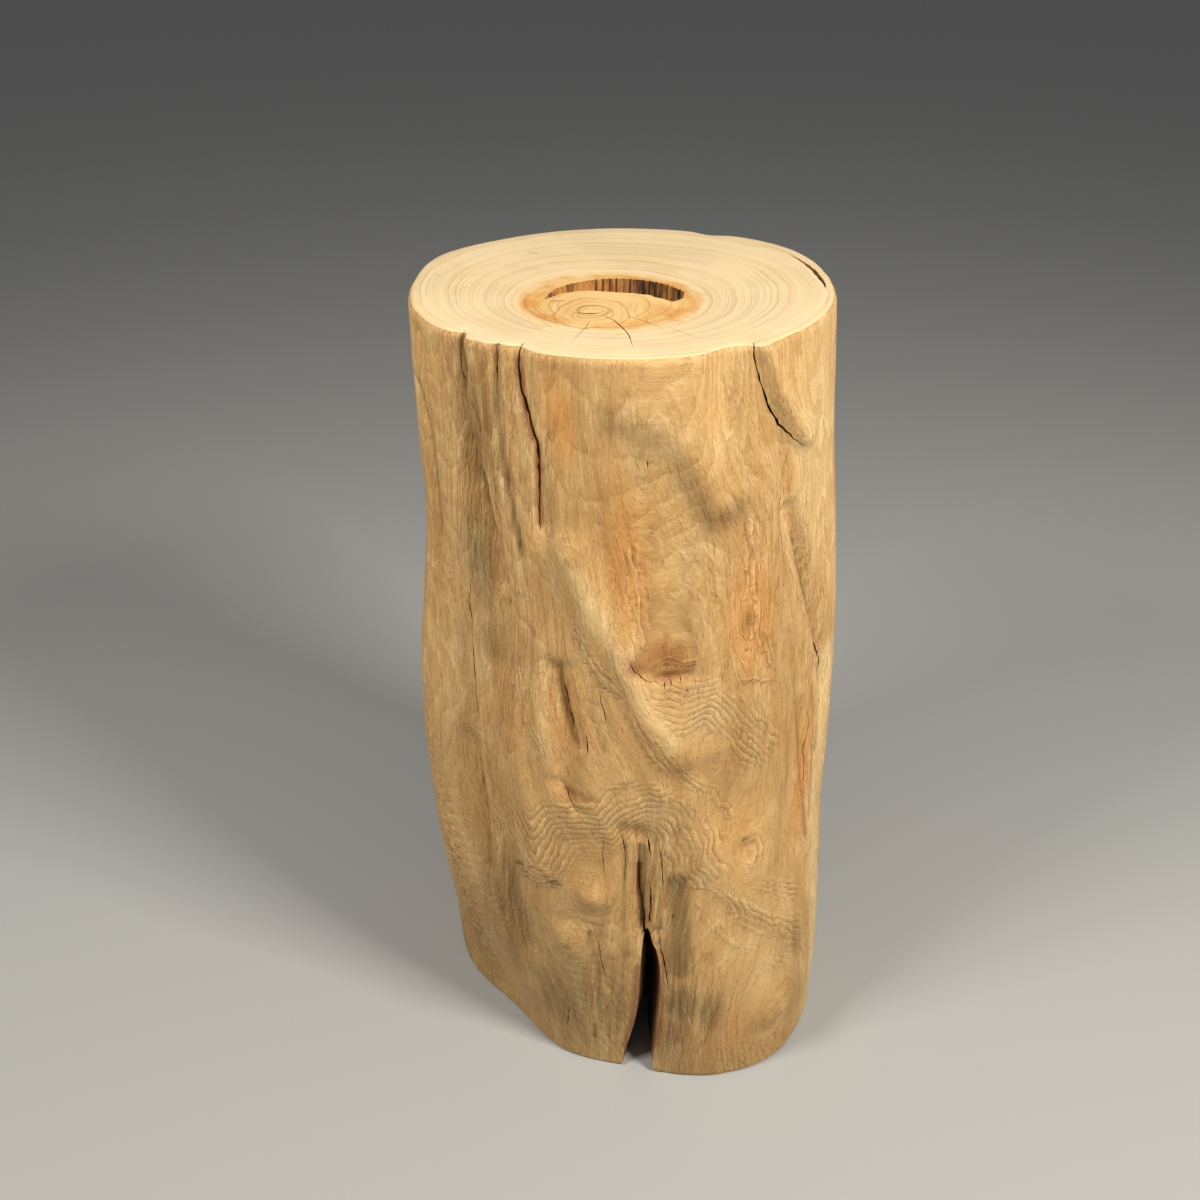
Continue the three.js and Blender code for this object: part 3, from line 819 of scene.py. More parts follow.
def use_up(piece):
    """Takes a piece and its mesh out of the file."""
    spent = piece.data
    bpy.data.objects.remove(piece)
    bpy.data.meshes.remove(spent)


def meet(first, second):
    """Whether the boxes of two cutters overlap."""
    one = points_of(first)
    other = points_of(second)
    return bool(np.all(one.min(0) < other.max(0)) and np.all(other.min(0) < one.max(0)))


def batches(cutters):
    """Groups of cutters in which no two meet, so that one cut serves a whole group."""
    groups = []
    for cutter in cutters:
        free = [group for group in groups if not any(meet(cutter, other) for other in group)]
        if free:
            free[0].append(cutter)
        else:
            groups.append([cutter])
    return groups


def joined(group):
    """One object from a group of cutters, which are used up."""
    mesh = bmesh.new()
    for cutter in group:
        mesh.from_mesh(cutter.data)
        use_up(cutter)
    return piece_from(mesh, "cutters")


def cut(target, cutter):
    """Takes a cutter out of the target, applied, and removes the cutter."""
    modifier = target.modifiers.new("cut", "BOOLEAN")
    modifier.operation = "DIFFERENCE"
    modifier.solver = "MANIFOLD"
    modifier.object = cutter
    evaluated = target.evaluated_get(bpy.context.evaluated_depsgraph_get())
    result = bpy.data.meshes.new_from_object(evaluated)
    target.modifiers.clear()
    old = target.data
    target.data = result
    bpy.data.meshes.remove(old)
    use_up(cutter)


groups = batches(foot_cutters + top_cutters + crack_cutters)
for group in groups:
    cut(log, joined(group))
log.data.name = "log"
print("rounds of cutting:", len(groups))
print("after cutting:", len(log.data.vertices), "points,", len(log.data.polygons), "faces")

# %% [markdown]
# The cut mesh is tidied: doubled points merge, and faces meet smoothly except at real edges,
# such as the rim of a crack. A closed mesh has exactly two faces at every edge, and the count
# is printed to show that it is so.

# %% Tidying the mesh
SHARP_ANGLE = math.radians(42)
SAME_PLACE = 2e-6
NO_LENGTH = 1e-6


def tidy(piece):
    mesh = bmesh.new()
    mesh.from_mesh(piece.data)
    bmesh.ops.remove_doubles(mesh, verts=mesh.verts, dist=SAME_PLACE)
    bmesh.ops.dissolve_degenerate(mesh, dist=NO_LENGTH, edges=mesh.edges)
    open_edges = sum(1 for edge in mesh.edges if len(edge.link_faces) != 2)
    triangles = sum(len(face.verts) - 2 for face in mesh.faces)
    for face in mesh.faces:
        face.smooth = True
    mesh.to_mesh(piece.data)
    mesh.free()
    piece.data.set_sharp_from_angle(angle=SHARP_ANGLE)
    print("open edges:", open_edges, "triangles:", triangles)


tidy(log)

# %% [markdown]
# ## Maps on the wood
#
# Colour on the side comes from maps: one number for each point of the mesh. The grain map
# says where a point lies in the straightened log. The layer map numbers the growth layers:
# where the side cuts slantwise through them, their edges show as lines, like heights on a
# hiking map. Each family of lines runs beside a route or rings a mound. At each point only the
# strongest family counts, since two at once would weave a net. Elsewhere the lines are faint,
# and follow the log's own swells.

# %% Layer map
# Each family of lines: half width of the zone, spacing, and the route its lines run beside.
LAYER_LINES = {
    "arch and drape": (46, 6.0, [(-121, 300), (-115.6, 271), (-111.4, 298), (-108, 320),
        (-103, 323), (-94, 326), (-91.4, 338), (-89, 350), (-84, 352), (-77, 350), (-72.2, 328),
        (-70, 302), (-68.6, 277), (-64.8, 252), (-59.5, 229), (-56, 203), (-49, 175), (-42, 151)]),
    "under the bowl": (33, 5.6, [(-81.5, 462), (-75.4, 450), (-70, 457), (-67, 458), (-63.6, 445),
        (-58, 417), (-51, 390)]),
    "in the bowl": (10, 4.4, [(-83, 498), (-78.5, 503), (-75.2, 497), (-71, 497)]),
    "right of the bowl": (10, 4.4, [(-60, 470), (-54.2, 467), (-47.5, 461)]),
    "between": (18, 5.5, [(-88, 460), (-83, 426), (-77.5, 392), (-73.2, 373), (-66, 355),
        (-60.4, 328)]),
    "drape to the toe": (21, 5.0, [(-62, 252), (-52.6, 235), (-45, 214), (-38, 192)]),
    "low drape": (22, 5.6, [(-68, 236), (-60.6, 190), (-55.6, 170), (-44.6, 147)]),
    "mid left, outer": (14, 5.0, [(-121, 500), (-118.8, 473), (-116, 434), (-112, 405)]),
    "mid left, high": (7, 4.5, [(-111, 545), (-105.5, 514)]),
    "mid left, inner": (14, 5.0, [(-102, 531), (-96.9, 497), (-92, 478), (-87, 462)]),
    "flames, middle": (15, 7.0, [(-88.4, 605), (-87, 565), (-85.5, 525)]),
    "flames, right": (17, 6.4, [(-58, 610), (-56, 560), (-54, 510), (-50, 480)]),
    "back flames": (26, 7.5, [(96, 700), (94, 600), (97, 500), (95, 380)]),
}
# Nests of rings: centre, flattening, half width of the zone, spacing.
LAYER_NESTS = {
    "right mound": ((-54, 276), 1.6, 36, 6.4),
    "toe knob": ((-47.5, 70), 1.2, 22, 5.0),
    "swirl": ((-65.5, 407), 1.2, 16, 4.2),
    "yellow spot": ((-54.3, 500), 3.0, 12, 4.0),
    "back knot": ((74, 470), 1.8, 66, 7.0),
    "low back knot": ((118, 210), 1.9, 60, 7.0),
    "left flank knot": ((-171, 330), 2.4, 42, 7.0),
    "right flank knot": ((8, 420), 2.6, 44, 7.0),
}
NEST_STRENGTH = 0.8
# Elsewhere the lines are faint: one for each step down into the log, and up it.
FAINT_STRENGTH = 0.4
FAINT_SPACING = 1.6
FAINT_RISE = 26
FAINT_PLAIN = 0.44
FADE_GAP = 0.35


def layer_map(angle, height):
    """The number of the line at each point, how plain it is, and the family it belongs to.

    The strongest family counts, and the lines fade out where two are equally strong.
    """
    families = []
    for width, spacing, route in LAYER_LINES.values():
        number = to_route(angle, height, route, run_on=True) / spacing
        families.append((near_route(angle, height, route, width), number))
    for (at, up), flat, width, spacing in LAYER_NESTS.values():
        away = np.hypot(np.radians(turn(angle, at)) * USUAL_RADIUS, (height - up) / flat)
        families.append((NEST_STRENGTH * np.exp(-((away / width) ** 2)), away / spacing))
    first = np.full(np.shape(angle), FAINT_STRENGTH)
    second = np.zeros(np.shape(angle))
    layers = smooth_side(angle, height) / FAINT_SPACING + height / FAINT_RISE
    plain = np.full(np.shape(angle), FAINT_PLAIN)
    owner = np.zeros(np.shape(angle), int)
    for index, (strength, number) in enumerate(families, 1):
        stronger = strength > first
        second = np.where(stronger, first, np.maximum(second, strength))
        layers = np.where(stronger, number, layers)
        plain = np.where(stronger, strength, plain)
        owner = np.where(stronger, index, owner)
        first = np.where(stronger, strength, first)
    return layers, plain * np.clip((first - second) / FADE_GAP, 0, 1), owner


def strongest(patches, angle, height):
    """The greatest of several soft patches at each point."""
    best = np.zeros(np.shape(angle))
    for at, up, wide, tall, lean, strength in patches.values():
        best = np.maximum(best, strength * mound(angle, height, (at, up), wide, tall, lean))
    return best


print("families of lines:", len(LAYER_LINES), "nests:", len(LAYER_NESTS))

# %% [markdown]
# Stains and tints are maps too. A grey stain is where fungus got into the wet wood, and the grey
# map also holds painted shade on the lower left and the left lobe, which face away from the
# stronger lamp. Orange is heartwood that the sanding has reached, and rust is old sap in a scar.
# Cream is paler wood in places, and painted highlight on the ridges and along the right edge.
# Patches are soft spots; bands follow a route along the grain.

# %% Stain maps
# Patches: angle, height, width, height, lean, strength.
GREY_STAIN_AND_SHADE_PATCHES = {
    "upper left": (-129, 700, 10, 75, 0, 0.55),
    "dark olive": (-132.5, 572, 6.5, 60, -3, 0.75),
    "dark olive, low": (-129, 500, 5, 42, -3, 0.55),
    "left of the mid line": (-138, 500, 5, 90, 0, 0.35),
    # Painted shade on the lower left, which faces away from the stronger lamp.
    "lower left": (-128, 190, 14, 130, -4, 0.5),
    "left edge, low": (-150, 120, 14, 120, 0, 0.4),
    # Painted shade on the left lobe, which faces away from the stronger lamp.
    "left lobe": (-108, 90, 16, 90, 0, 0.6),
    "left lobe, right": (-90, 90, 3, 40, 0, 0.5),
    "grey spot": (-56.9, 529, 3.0, 15, 0, 0.6),
    "haze inside the arc": (-85, 682, 8, 26, 0, 0.45),
    "grey below the arc": (-74, 540, 4, 55, -3, 0.45),
    "foot right of the cleft": (-72.5, 105, 5.5, 26, 0, 0.85),
    "foot right of the cleft, low": (-76, 60, 6, 40, 0, 0.5),
    "brush marks": (-65, 96, 4, 30, 0, 0.85),
    "right edge": (-36.5, 135, 3, 26, 0, 0.6),
    "dark crescent": (-89, 379, 2.5, 5, 0, 0.7),
    "back, low": (100, 150, 26, 150, 0, 0.5),
    "back, left": (150, 520, 12, 130, 0, 0.4),
    "back, upper": (70, 690, 8, 60, 0, 0.4),
    "right flank": (24, 300, 10, 160, 0, 0.35),
}
# Bands: strength, width, route.
GREY_BANDS = {
    "arc": (0.62, 15, [(-94, 711), (-87, 703), (-81, 692), (-74.5, 656), (-68.5, 622),
        (-61, 630)]),
    "line in the arc": (0.55, 6, [(-92, 708), (-84, 697), (-78, 680), (-72, 640)]),
    "down from the arc": (0.32, 10, [(-72, 625), (-74.8, 580), (-74.2, 523), (-71, 498)]),
    "grey strip": (1.0, 11, [(-74.2, 262), (-73.4, 226), (-72.8, 150)]),
    "left lobe": (0.75, 4, [(-99.5, 195), (-97, 150), (-96, 100), (-98, 40)]),
    "left lobe, right": (0.6, 3.5, [(-92.6, 165), (-92, 110), (-93.5, 45)]),
    "beside the cleft": (0.4, 6, [(-88, 190), (-89, 120), (-91, 50)]),
    "streak right of the apex": (0.7, 3.5, [(-80.4, 312), (-79.6, 260), (-79, 205)]),
    "streak left of the apex": (0.6, 3.5, [(-89.6, 305), (-89.2, 262), (-88.6, 200)]),
    "streak at the cleft": (0.75, 5, [(-84, 300), (-84, 250), (-83, 205)]),
    "shade groove, right": (0.85, 4.5, [(-40, 580), (-27, 462), (-22, 410), (-22, 330)]),
    "left edge line": (0.95, 3.6, [(-157, 700), (-151.5, 652), (-151, 580)]),
    "groove, upper left": (0.95, 3.2, [(-134.5, 756), (-133.5, 710), (-130, 655), (-126, 600)]),
    "rim lines": (0.8, 3, [(-122.8, 758), (-122, 700), (-117, 600)]),
    "gouge, mid left": (0.5, 4.5, [(-108, 478), (-105.4, 455), (-104, 432), (-101.5, 402)]),
    "gouge, mid": (0.6, 4, [(-98.6, 480), (-97.4, 450), (-94.6, 415)]),
    "beside the long crack": (0.45, 7, [(-110.5, 670), (-109, 640), (-108, 600)]),
    "lip": (0.45, 6, [(-58, 755), (-55.8, 739), (-52.3, 717), (-47, 695), (-41.4, 672)]),
}
ORANGE_PATCHES = {
    "beside the long crack": (-106, 712, 4.2, 40, -3, 1.0),
    "middle": (-90, 590, 6.5, 82, -2, 0.85),
    "middle, upper": (-88, 640, 6, 30, 0, 0.5),
    "right": (-56, 530, 9, 62, 0, 1.0),
    "right, low": (-51, 470, 5, 36, 0, 0.5),
    "yellow spot": (-54.3, 503, 2.4, 16, 0, 0.9),
    "bowl": (-79, 505, 10, 30, 0, 0.9),
    "mid left": (-104, 440, 8, 66, 0, 0.65),
    "left": (-112, 590, 5, 70, 0, 0.45),
    "lower right": (-58, 300, 9, 60, 0, 0.55),
    "toe": (-58, 70, 12, 50, 0, 0.5),
    "waist, left": (-122, 420, 7, 80, 0, 0.4),
    "below the lip": (-45.5, 640, 2.4, 22, 0, 0.7),
    "streak, right edge": (-32, 335, 6.5, 105, 4, 1.0),
    "back": (80, 600, 12, 110, 0, 0.6),
    "back, low": (130, 330, 10, 100, 0, 0.5),
    "left flank": (-172, 470, 9, 100, 0, 0.5),
    "right flank": (2, 560, 9, 90, 0, 0.5),
}
RUST_PATCHES = {
    "bowl, left corner": (-87.6, 501, 2.4, 9, -6, 0.95),
    "bowl, foot": (-78.5, 486, 6, 7, 0, 0.8),
    "bowl": (-81, 508, 10, 20, 0, 0.62),
    "over the bowl": (-84, 545, 6, 24, 0, 0.35),
    "bowl, right": (-73, 492, 2.4, 12, 0, 0.6),
    "scar": (-105.2, 360, 3.2, 11, 0, 0.75),
    "scar, right": (-100, 357, 3.5, 4, 0, 0.7),
    "mid left crack": (-105.3, 462, 1.6, 26, 3, 0.6),
    "mound eye": (-55, 294, 2.0, 10, 0, 0.5),
    "low streak": (-62, 75, 2.4, 40, 0, 0.4),
    "corner below the lip": (-41, 668, 2.5, 8, 0, 0.4),
    "rim": (-122.8, 752, 1.6, 10, 0, 0.6),
}
RUST_BANDS = {
    "right streak": (0.7, 4.2, [(-37.9, 420), (-34.6, 350), (-30.5, 280), (-28.1, 241)]),
    "right streak, far side": (0.6, 3.5, [(-31, 425), (-27.5, 350), (-26.6, 262)]),
    "long crack": (0.9, 4, [(-116.6, 750), (-115.4, 725), (-111.5, 690), (-111, 625)]),
    "ribs over the cleft": (0.55, 3, [(-86.6, 300), (-86, 250), (-84.6, 205)]),
    "cleft, left edge": (0.9, 5, [(-85, 150), (-85.8, 80), (-88, 30)]),
    "cleft, right edge": (0.7, 5, [(-78.2, 170), (-78, 110), (-78.6, 40)]),
    "right of the cleft": (0.5, 3, [(-78.6, 190), (-76.6, 144)]),
}
CREAM_PATCHES = {
    "below the rim": (-75, 742, 40, 16, 0, 0.3),
    "right shoulder": (-30, 680, 20, 120, 0, 0.7),
    "under the lip": (-66, 690, 6, 40, 0, 0.3),
    "arch": (-82, 345, 14, 26, 0, 0.45),
    "below the bowl": (-68, 440, 12, 40, 0, 0.55),
    "over the cleft": (-84, 285, 8, 40, 0, 0.4),
    "left of the cleft": (-98, 160, 6, 60, 0, 0.2),
    "toe": (-50, 130, 14, 80, 0, 0.5),
    "left waist": (-142, 440, 12, 110, 0, 0.3),
    "back": (110, 660, 30, 80, 0, 0.4),
}
CREAM_AND_HIGHLIGHT_BANDS = {
    # Painted highlight on the ridges, where the lamps catch them.
    "slanting ridge": (0.75, 12, [(-102, 585), (-97, 550), (-91, 512), (-85, 462), (-77, 420)]),
    "second ridge": (0.35, 8, [(-88, 470), (-80, 420), (-72, 390), (-66, 350)]),
    "drape": (0.4, 8, [(-72, 330), (-67, 285), (-58, 230), (-42, 176)]),
    # Painted highlight along the right edge, which faces the right lamp.
    "painted highlight, right edge": (1.0, 26, [(-20, 430), (-22, 300), (-21, 240), (-20, 160), (-22, 80),
        (-28, 20)]),
    "ridge by the olive": (0.5, 6, [(-121, 660), (-118, 600), (-116, 540)]),
}
# Where the fibres lie open and streaky, rather than sanded smooth.
STREAKY_PATCHES = {
    "upper left": (-128, 660, 18, 130, 0, 1.0),
    "mid left": (-112, 480, 14, 90, 0, 0.8),
    "orange middle": (-88, 560, 9, 90, 0, 0.7),
    "orange right": (-55, 540, 11, 90, 0, 0.8),
    "right edge": (-28, 480, 9, 200, 0, 0.8),
    "over the cleft": (-82, 240, 6, 70, 0, 1.0),
    "left lobe": (-98, 80, 10, 70, 0, 0.7),
    "right of the cleft": (-70, 90, 9, 70, 0, 1.0),
    "lower left": (-128, 260, 8, 150, -3, 0.6),
    "back": (90, 420, 40, 260, 0, 0.7),
    "left flank": (-165, 500, 14, 200, 0, 0.6),
}
# Cross ripples, too fine for the mesh.
RIPPLE_PATCHES = {
    "left edge": (-150, 170, 9, 150, -3, 1.0),
    "left edge, middle": (-160, 330, 8, 90, 0, 0.7),
    "beside the cleft": (-103, 215, 6, 90, 0, 0.35),
    "left edge, high": (-146, 560, 6, 80, 0, 0.35),
    "back": (150, 300, 18, 150, 0, 0.4),
    "right flank": (10, 200, 14, 120, 0, 0.3),
}


# The stain maps: patches and bands.
STAINS = {
    "grey": (GREY_STAIN_AND_SHADE_PATCHES, GREY_BANDS),
    "orange": (ORANGE_PATCHES, {}),
    "rust": (RUST_PATCHES, RUST_BANDS),
    "cream_and_highlight": (CREAM_PATCHES, CREAM_AND_HIGHLIGHT_BANDS),
    "streaky": (STREAKY_PATCHES, {}),
    "ripple": (RIPPLE_PATCHES, {}),
}


def stain(patches, bands, angle, height):
    """Patches and bands of one stain, the strongest at each point."""
    best = strongest(patches, angle, height)
    for strength, width, route in bands.values():
        best = np.maximum(best, strength * near_route(angle, height, route, width))
    return best


def write_map(piece, name, values):
    """Stores a number, or three, for each point of the mesh."""
    several = np.ndim(values) == 2
    kind = "FLOAT_VECTOR" if several else "FLOAT"
    stored = piece.data.attributes.new(name, kind, "POINT")
    flat = np.ascontiguousarray(values, np.float32).ravel()
    stored.data.foreach_set("vector" if several else "value", flat)


DEEPEST = 60


def clear_seams(piece, figure, owner):
    """No lines on the faces where one family meets the next."""
    pairs = np.zeros(len(piece.data.edges) * 2, np.int32)
    piece.data.edges.foreach_get("vertices", pairs)
    pairs = pairs.reshape(-1, 2)
    seam = np.zeros(len(figure), bool)
    seam[pairs[owner[pairs[:, 0]] != owner[pairs[:, 1]]].ravel()] = True
    seam[pairs[seam[pairs].any(1)].ravel()] = True
    figure[seam] = 0


def write_maps(piece):
    places = points_of(piece) / MM + (*PLUMB_TO_MIDDLE, 0)
    angle = np.degrees(np.arctan2(places[:, 1], places[:, 0]))
    height = places[:, 2]
    radius = np.hypot(places[:, 0], places[:, 1])
    layers, figure, owner = layer_map(angle, height)
    clear_seams(piece, figure, owner)
    write_map(piece, "grain", np.stack(grain_place(angle, height, radius), 1) * MM)
    write_map(piece, "layers", layers)
    write_map(piece, "figure", figure)
    for name, (patches, bands) in STAINS.items():
        write_map(piece, name, stain(patches, bands, angle, height))
    # How deep a point lies below the side; it drives painted shade in the cracks and the hollow.
    depth = np.clip(smooth_side(angle, height) - radius, 0, DEEPEST)
    write_map(piece, "sunk", depth / DEEPEST)


write_maps(log)
print("maps:", ", ".join(a.name for a in log.data.attributes if a.domain == "POINT"))

# %% [markdown]
# ## Shader arithmetic
#
# Materials are written as formulas. `Value` holds the output of a node, and each operator adds
# a Math node, so `base * 0.8 + lines` reads as it would on paper. Colours and vectors can't go
# through Math nodes, which would make them grey, so they have `mix` and `stretch` of their own.

# %% Shader arithmetic
WOOD_SPECULAR = 0.35


def operator(operation, swapped=False):
    """A method that adds a Math node for two numbers, in their order or swapped."""
    def method(self, other):
        return self.maths(operation, *((other, self) if swapped else (self, other)))
    return method


class Value:
    """The output of a node, in a material that is being written as a formula."""

    __add__ = __radd__ = operator("ADD")
    __mul__ = __rmul__ = operator("MULTIPLY")
    __sub__ = operator("SUBTRACT")
    __rsub__ = operator("SUBTRACT", swapped=True)
    __truediv__ = operator("DIVIDE")
    __rtruediv__ = operator("DIVIDE", swapped=True)

    def __init__(self, material, socket):
        self.material = material
        self.socket = socket

    def maths(self, operation, *numbers):
        return node(self.material, "ShaderNodeMath", {"operation": operation}, *numbers)

    def root(self):
        return self.maths("SQRT", self)

    def size(self):
        return self.maths("ABSOLUTE", self)

    def part(self):
        """What is left of a number past the point: the place between two rings."""
        return self.maths("FRACT", self)

    def between(self, low, high):
        """0 below low, 1 above high, and a soft step from one to the other."""
        return node(self.material, "ShaderNodeMapRange", {"interpolation_type": "SMOOTHSTEP"},
                    self, low, high, 0.0, 1.0)


def node(material, kind, settings, *inputs, output=0):
    """Adds one node: its settings first, then its inputs in order."""
    made = material.node_tree.nodes.new(kind)
    for name, value in settings.items():
        setattr(made, name, value)
    sockets = [socket for socket in made.inputs if socket.enabled]
    for socket, value in zip(sockets, inputs):
        if isinstance(value, Value):
            material.node_tree.links.new(value.socket, socket)
        else:
            socket.default_value = value
    outputs = [socket for socket in made.outputs if socket.enabled]
    return Value(material, outputs[output])


def stored_map(material, name, vector=False):
    """Reads one of the maps that were written on the mesh."""
    return node(material, "ShaderNodeAttribute", {"attribute_name": name},
                output=1 if vector else 2)


def here(material):
    """The place of each point in the object's own metres."""
    return node(material, "ShaderNodeTexCoord", {}, output=3)


def axis(place, number):
    """One of a place's three numbers: 0 is to the right, 1 to the back, 2 up."""
    return node(place.material, "ShaderNodeSeparateXYZ", {}, place, output=number)


def stretch(place, x, y, z):
    """A place whose three directions are scaled, so that a pattern gets finer along them."""
    return node(place.material, "ShaderNodeVectorMath", {"operation": "MULTIPLY"},
                place, (x, y, z))


def noise(place, detail, roughness=0.55):
    """A soft random field from 0 to 1, most of it near 0.5."""
    return node(place.material, "ShaderNodeTexNoise", {}, place, 1.0, detail, roughness)


def mix(factor, first, second):
    """A colour between two colours."""
    return node(factor.material, "ShaderNodeMix", {"data_type": "RGBA"}, factor, first, second)


def tinted(colour, factor, tint):
    """A colour multiplied by a tint as far as the factor says."""
    return node(factor.material, "ShaderNodeMix",
                {"data_type": "RGBA", "blend_type": "MULTIPLY"}, factor, colour, tint)


def finish_with(material, colour, roughness, height, depth):
    """Joins colour, roughness and a height field to the material's shader."""
    nodes = material.node_tree.nodes
    shader = nodes["Principled BSDF"]
    links = material.node_tree.links
    links.new(colour.socket, shader.inputs["Base Color"])
    links.new(roughness.socket, shader.inputs["Roughness"])
    bump = nodes.new("ShaderNodeBump")
    bump.inputs["Distance"].default_value = depth
    links.new(height.socket, bump.inputs["Height"])
    links.new(bump.outputs["Normal"], shader.inputs["Normal"])
    shader.inputs["Specular IOR Level"].default_value = WOOD_SPECULAR


print("shader arithmetic is ready")

# %% [markdown]
# ## The sanded side
#
# Raw tropical wood is a warm tan. Over it come broad light and dark zones, streaks and pores
# that follow the fibres, the lines of the growth layers, and the stains. A layer starts dark,
# brightens slowly and ends at a sharp edge, like a low step; a thin dark line would look drawn
# on. Each stain is broken up along the fibres, because a stain creeps along them and never
# stops at a clean edge. Colours are in linear light.

# %% Sanded side
TAN = (0.60, 0.36, 0.132, 1)
DEEP_TAN = (0.45, 0.242, 0.075, 1)
CREAM = (0.75, 0.52, 0.235, 1)
GREY_STAIN_AND_SHADE_TINT = (0.44, 0.46, 0.45, 1)
ORANGE = (0.60, 0.27, 0.07, 1)
RUST = (0.28, 0.10, 0.032, 1)
SHADE_TINT = (0.60, 0.50, 0.38, 1)
LIGHT_TINT = (1.3, 1.4, 1.62, 1)
# Painted shade towards the foot: it starts at FOOT_SHADE_TOP and is full at FOOT_SHADE_FULL, in
# metres.
FOOT_PAINTED_SHADE = (0.84, 0.85, 0.83, 1)
FOOT_SHADE_TOP = 0.3
FOOT_SHADE_FULL = 0.02
SIDE_RELIEF = 0.0013
FLAMES = 30


def sanded_side(material):
    grain = stored_map(material, "grain", vector=True)
    place = here(material)
    streaky = stored_map(material, "streaky")

    broad = noise(stretch(grain, 14, 14, 4.5), 3, 0.55)
    cloud = noise(stretch(grain, 48, 48, 14), 3, 0.6)
    streaks = noise(stretch(grain, 170, 170, 9), 4, 0.62)
    flecks = noise(stretch(grain, 760, 760, 230), 3, 0.65)
    hairs = noise(stretch(grain, 900, 900, 40), 2, 0.5)
    grit = noise(stretch(place, 800, 800, 800), 2, 0.6)
    creep = (noise(stretch(grain, 120, 120, 9), 4, 0.65) - 0.5) * 1.2

    colour = mix(broad.between(0.32, 0.7) * 0.8, TAN, DEEP_TAN)
    colour = mix(cloud.between(0.5, 0.3) * 0.35, colour, CREAM)
    colour = mix(cloud.between(0.52, 0.72) * 0.35, colour, DEEP_TAN)
    streak_dark = streaks.between(0.5, 0.66) * (0.1 + streaky * 0.7)
    colour = mix(streak_dark, colour, DEEP_TAN)
    colour = mix(streaks.between(0.5, 0.34) * (0.08 + streaky * 0.5), colour, CREAM)

    # The cream map is paler wood in places, and painted highlight on the ridges and along the
    # right edge.
    cream_and_highlight = (stored_map(material, "cream_and_highlight") + creep * 0.45).between(0.1, 0.95)
    colour = mix(cream_and_highlight * 0.75, colour, CREAM)
    orange = (stored_map(material, "orange") + creep * 0.6).between(0.12, 1.0)
    colour = mix(orange * 0.75, colour, ORANGE)
    # The grey map holds grey stains, and painted shade on the lower left and the left lobe.
    grey = stored_map(material, "grey")
    grey = (grey + creep * (0.2 + streaky * 0.5)).between(0.06, 0.85)
    colour = tinted(colour, grey * 0.8, GREY_STAIN_AND_SHADE_TINT)
    colour = tinted(colour, grey * streaks.between(0.46, 0.62) * 0.45, SHADE_TINT)
    rust = (stored_map(material, "rust") + creep * 0.6).between(0.15, 0.85)
    colour = mix(rust * 0.8, colour, RUST)

    flame = noise(stretch(grain, 13, 13, 1.9), 2, 0.45) * FLAMES
    flame_step = (flame + (flecks - 0.5) * 0.5).part()
    flame_line = flame_step.between(0.62, 0.9) * flame_step.between(1.0, 0.93)
    flame_dark = flame_step.between(0.28, 0.02) * cloud.between(0.3, 0.6)
    colour = tinted(colour, flame_dark * (0.2 + streaky * 0.35), SHADE_TINT)
    flame_pale = flame_line * cloud.between(0.6, 0.35)
    colour = tinted(colour, flame_pale * (0.25 + streaky * 0.5), LIGHT_TINT)

    jag = noise(stretch(grain, 160, 160, 60), 3, 0.6) - 0.5
    wave = noise(stretch(grain, 34, 34, 20), 2, 0.5) - 0.5
    plain = noise(stretch(place, 45, 45, 45), 2, 0.5)
    strength = stored_map(material, "figure")
    shift = (jag * 0.8 + wave * 2.6) * strength.between(0.1, 0.8)
    step = (stored_map(material, "layers") + shift + wave * 0.8 + jag * 0.25).part()
    figure = (strength + creep * 0.25).between(0.15, 0.8)
    figure = figure * (0.4 + plain.between(0.36, 0.62) * 0.6)
    pale_line = step.between(0.4, 0.92) * step.between(1.0, 0.95)
    dark_line = step.between(0.42, 0.0)
    colour = tinted(colour, dark_line * figure * 0.62, SHADE_TINT)
    colour = tinted(colour, pale_line * figure, LIGHT_TINT)

    rows = noise(stretch(grain, 90, 90, 340), 2, 0.5)
    ripple = stored_map(material, "ripple")
    colour = tinted(colour, rows.between(0.5, 0.6) * ripple * 0.7, SHADE_TINT)
    colour = tinted(colour, rows.between(0.47, 0.38) * ripple * 0.6, LIGHT_TINT)

    pale_fleck = flecks.between(0.52, 0.66)
    dark_fleck = flecks.between(0.48, 0.34)
    colour = tinted(colour, pale_fleck * (0.34 + streaky * 0.26), LIGHT_TINT)
    colour = tinted(colour, dark_fleck * (0.28 + streaky * 0.22), SHADE_TINT)
    hair = hairs.between(0.58, 0.72)
    colour = tinted(colour, hair * (0.14 + streaky * 0.7), SHADE_TINT)
    colour = tinted(colour, grit.between(0.55, 0.8) * 0.3, SHADE_TINT)
    # Painted shade: the side darkens towards the foot.
    up = axis(place, 2)
    colour = tinted(colour, up.between(FOOT_SHADE_TOP, FOOT_SHADE_FULL), FOOT_PAINTED_SHADE)

    roughness = 0.56 + grey * 0.12 + hair * 0.08
    height = (streaks * (0.3 + streaky * 0.6) + flecks * 0.45 + step * figure
              + rows * ripple + flame_step * 0.18 - hair * 0.3)
    finish_with(material, colour, roughness, height, SIDE_RELIEF)


sanded_side(finishes[SANDED_SIDE])
print("sanded side:", len(finishes[SANDED_SIDE].node_tree.nodes), "nodes")

# %% [markdown]
# ## The sawn ends
#
# A cross cut shows the growth rings: closed curves round the pith, which lies well forward of
# the middle. A ring keeps the outline's shape and shrinks towards the pith, so its number is
# found by asking how much the outline must shrink about the pith to pass through a point. That
# is one square root. The heart, the inner third, is yellow tan with finer rings. It glows
# orange at its rim and round the pit, most of all behind the pith.

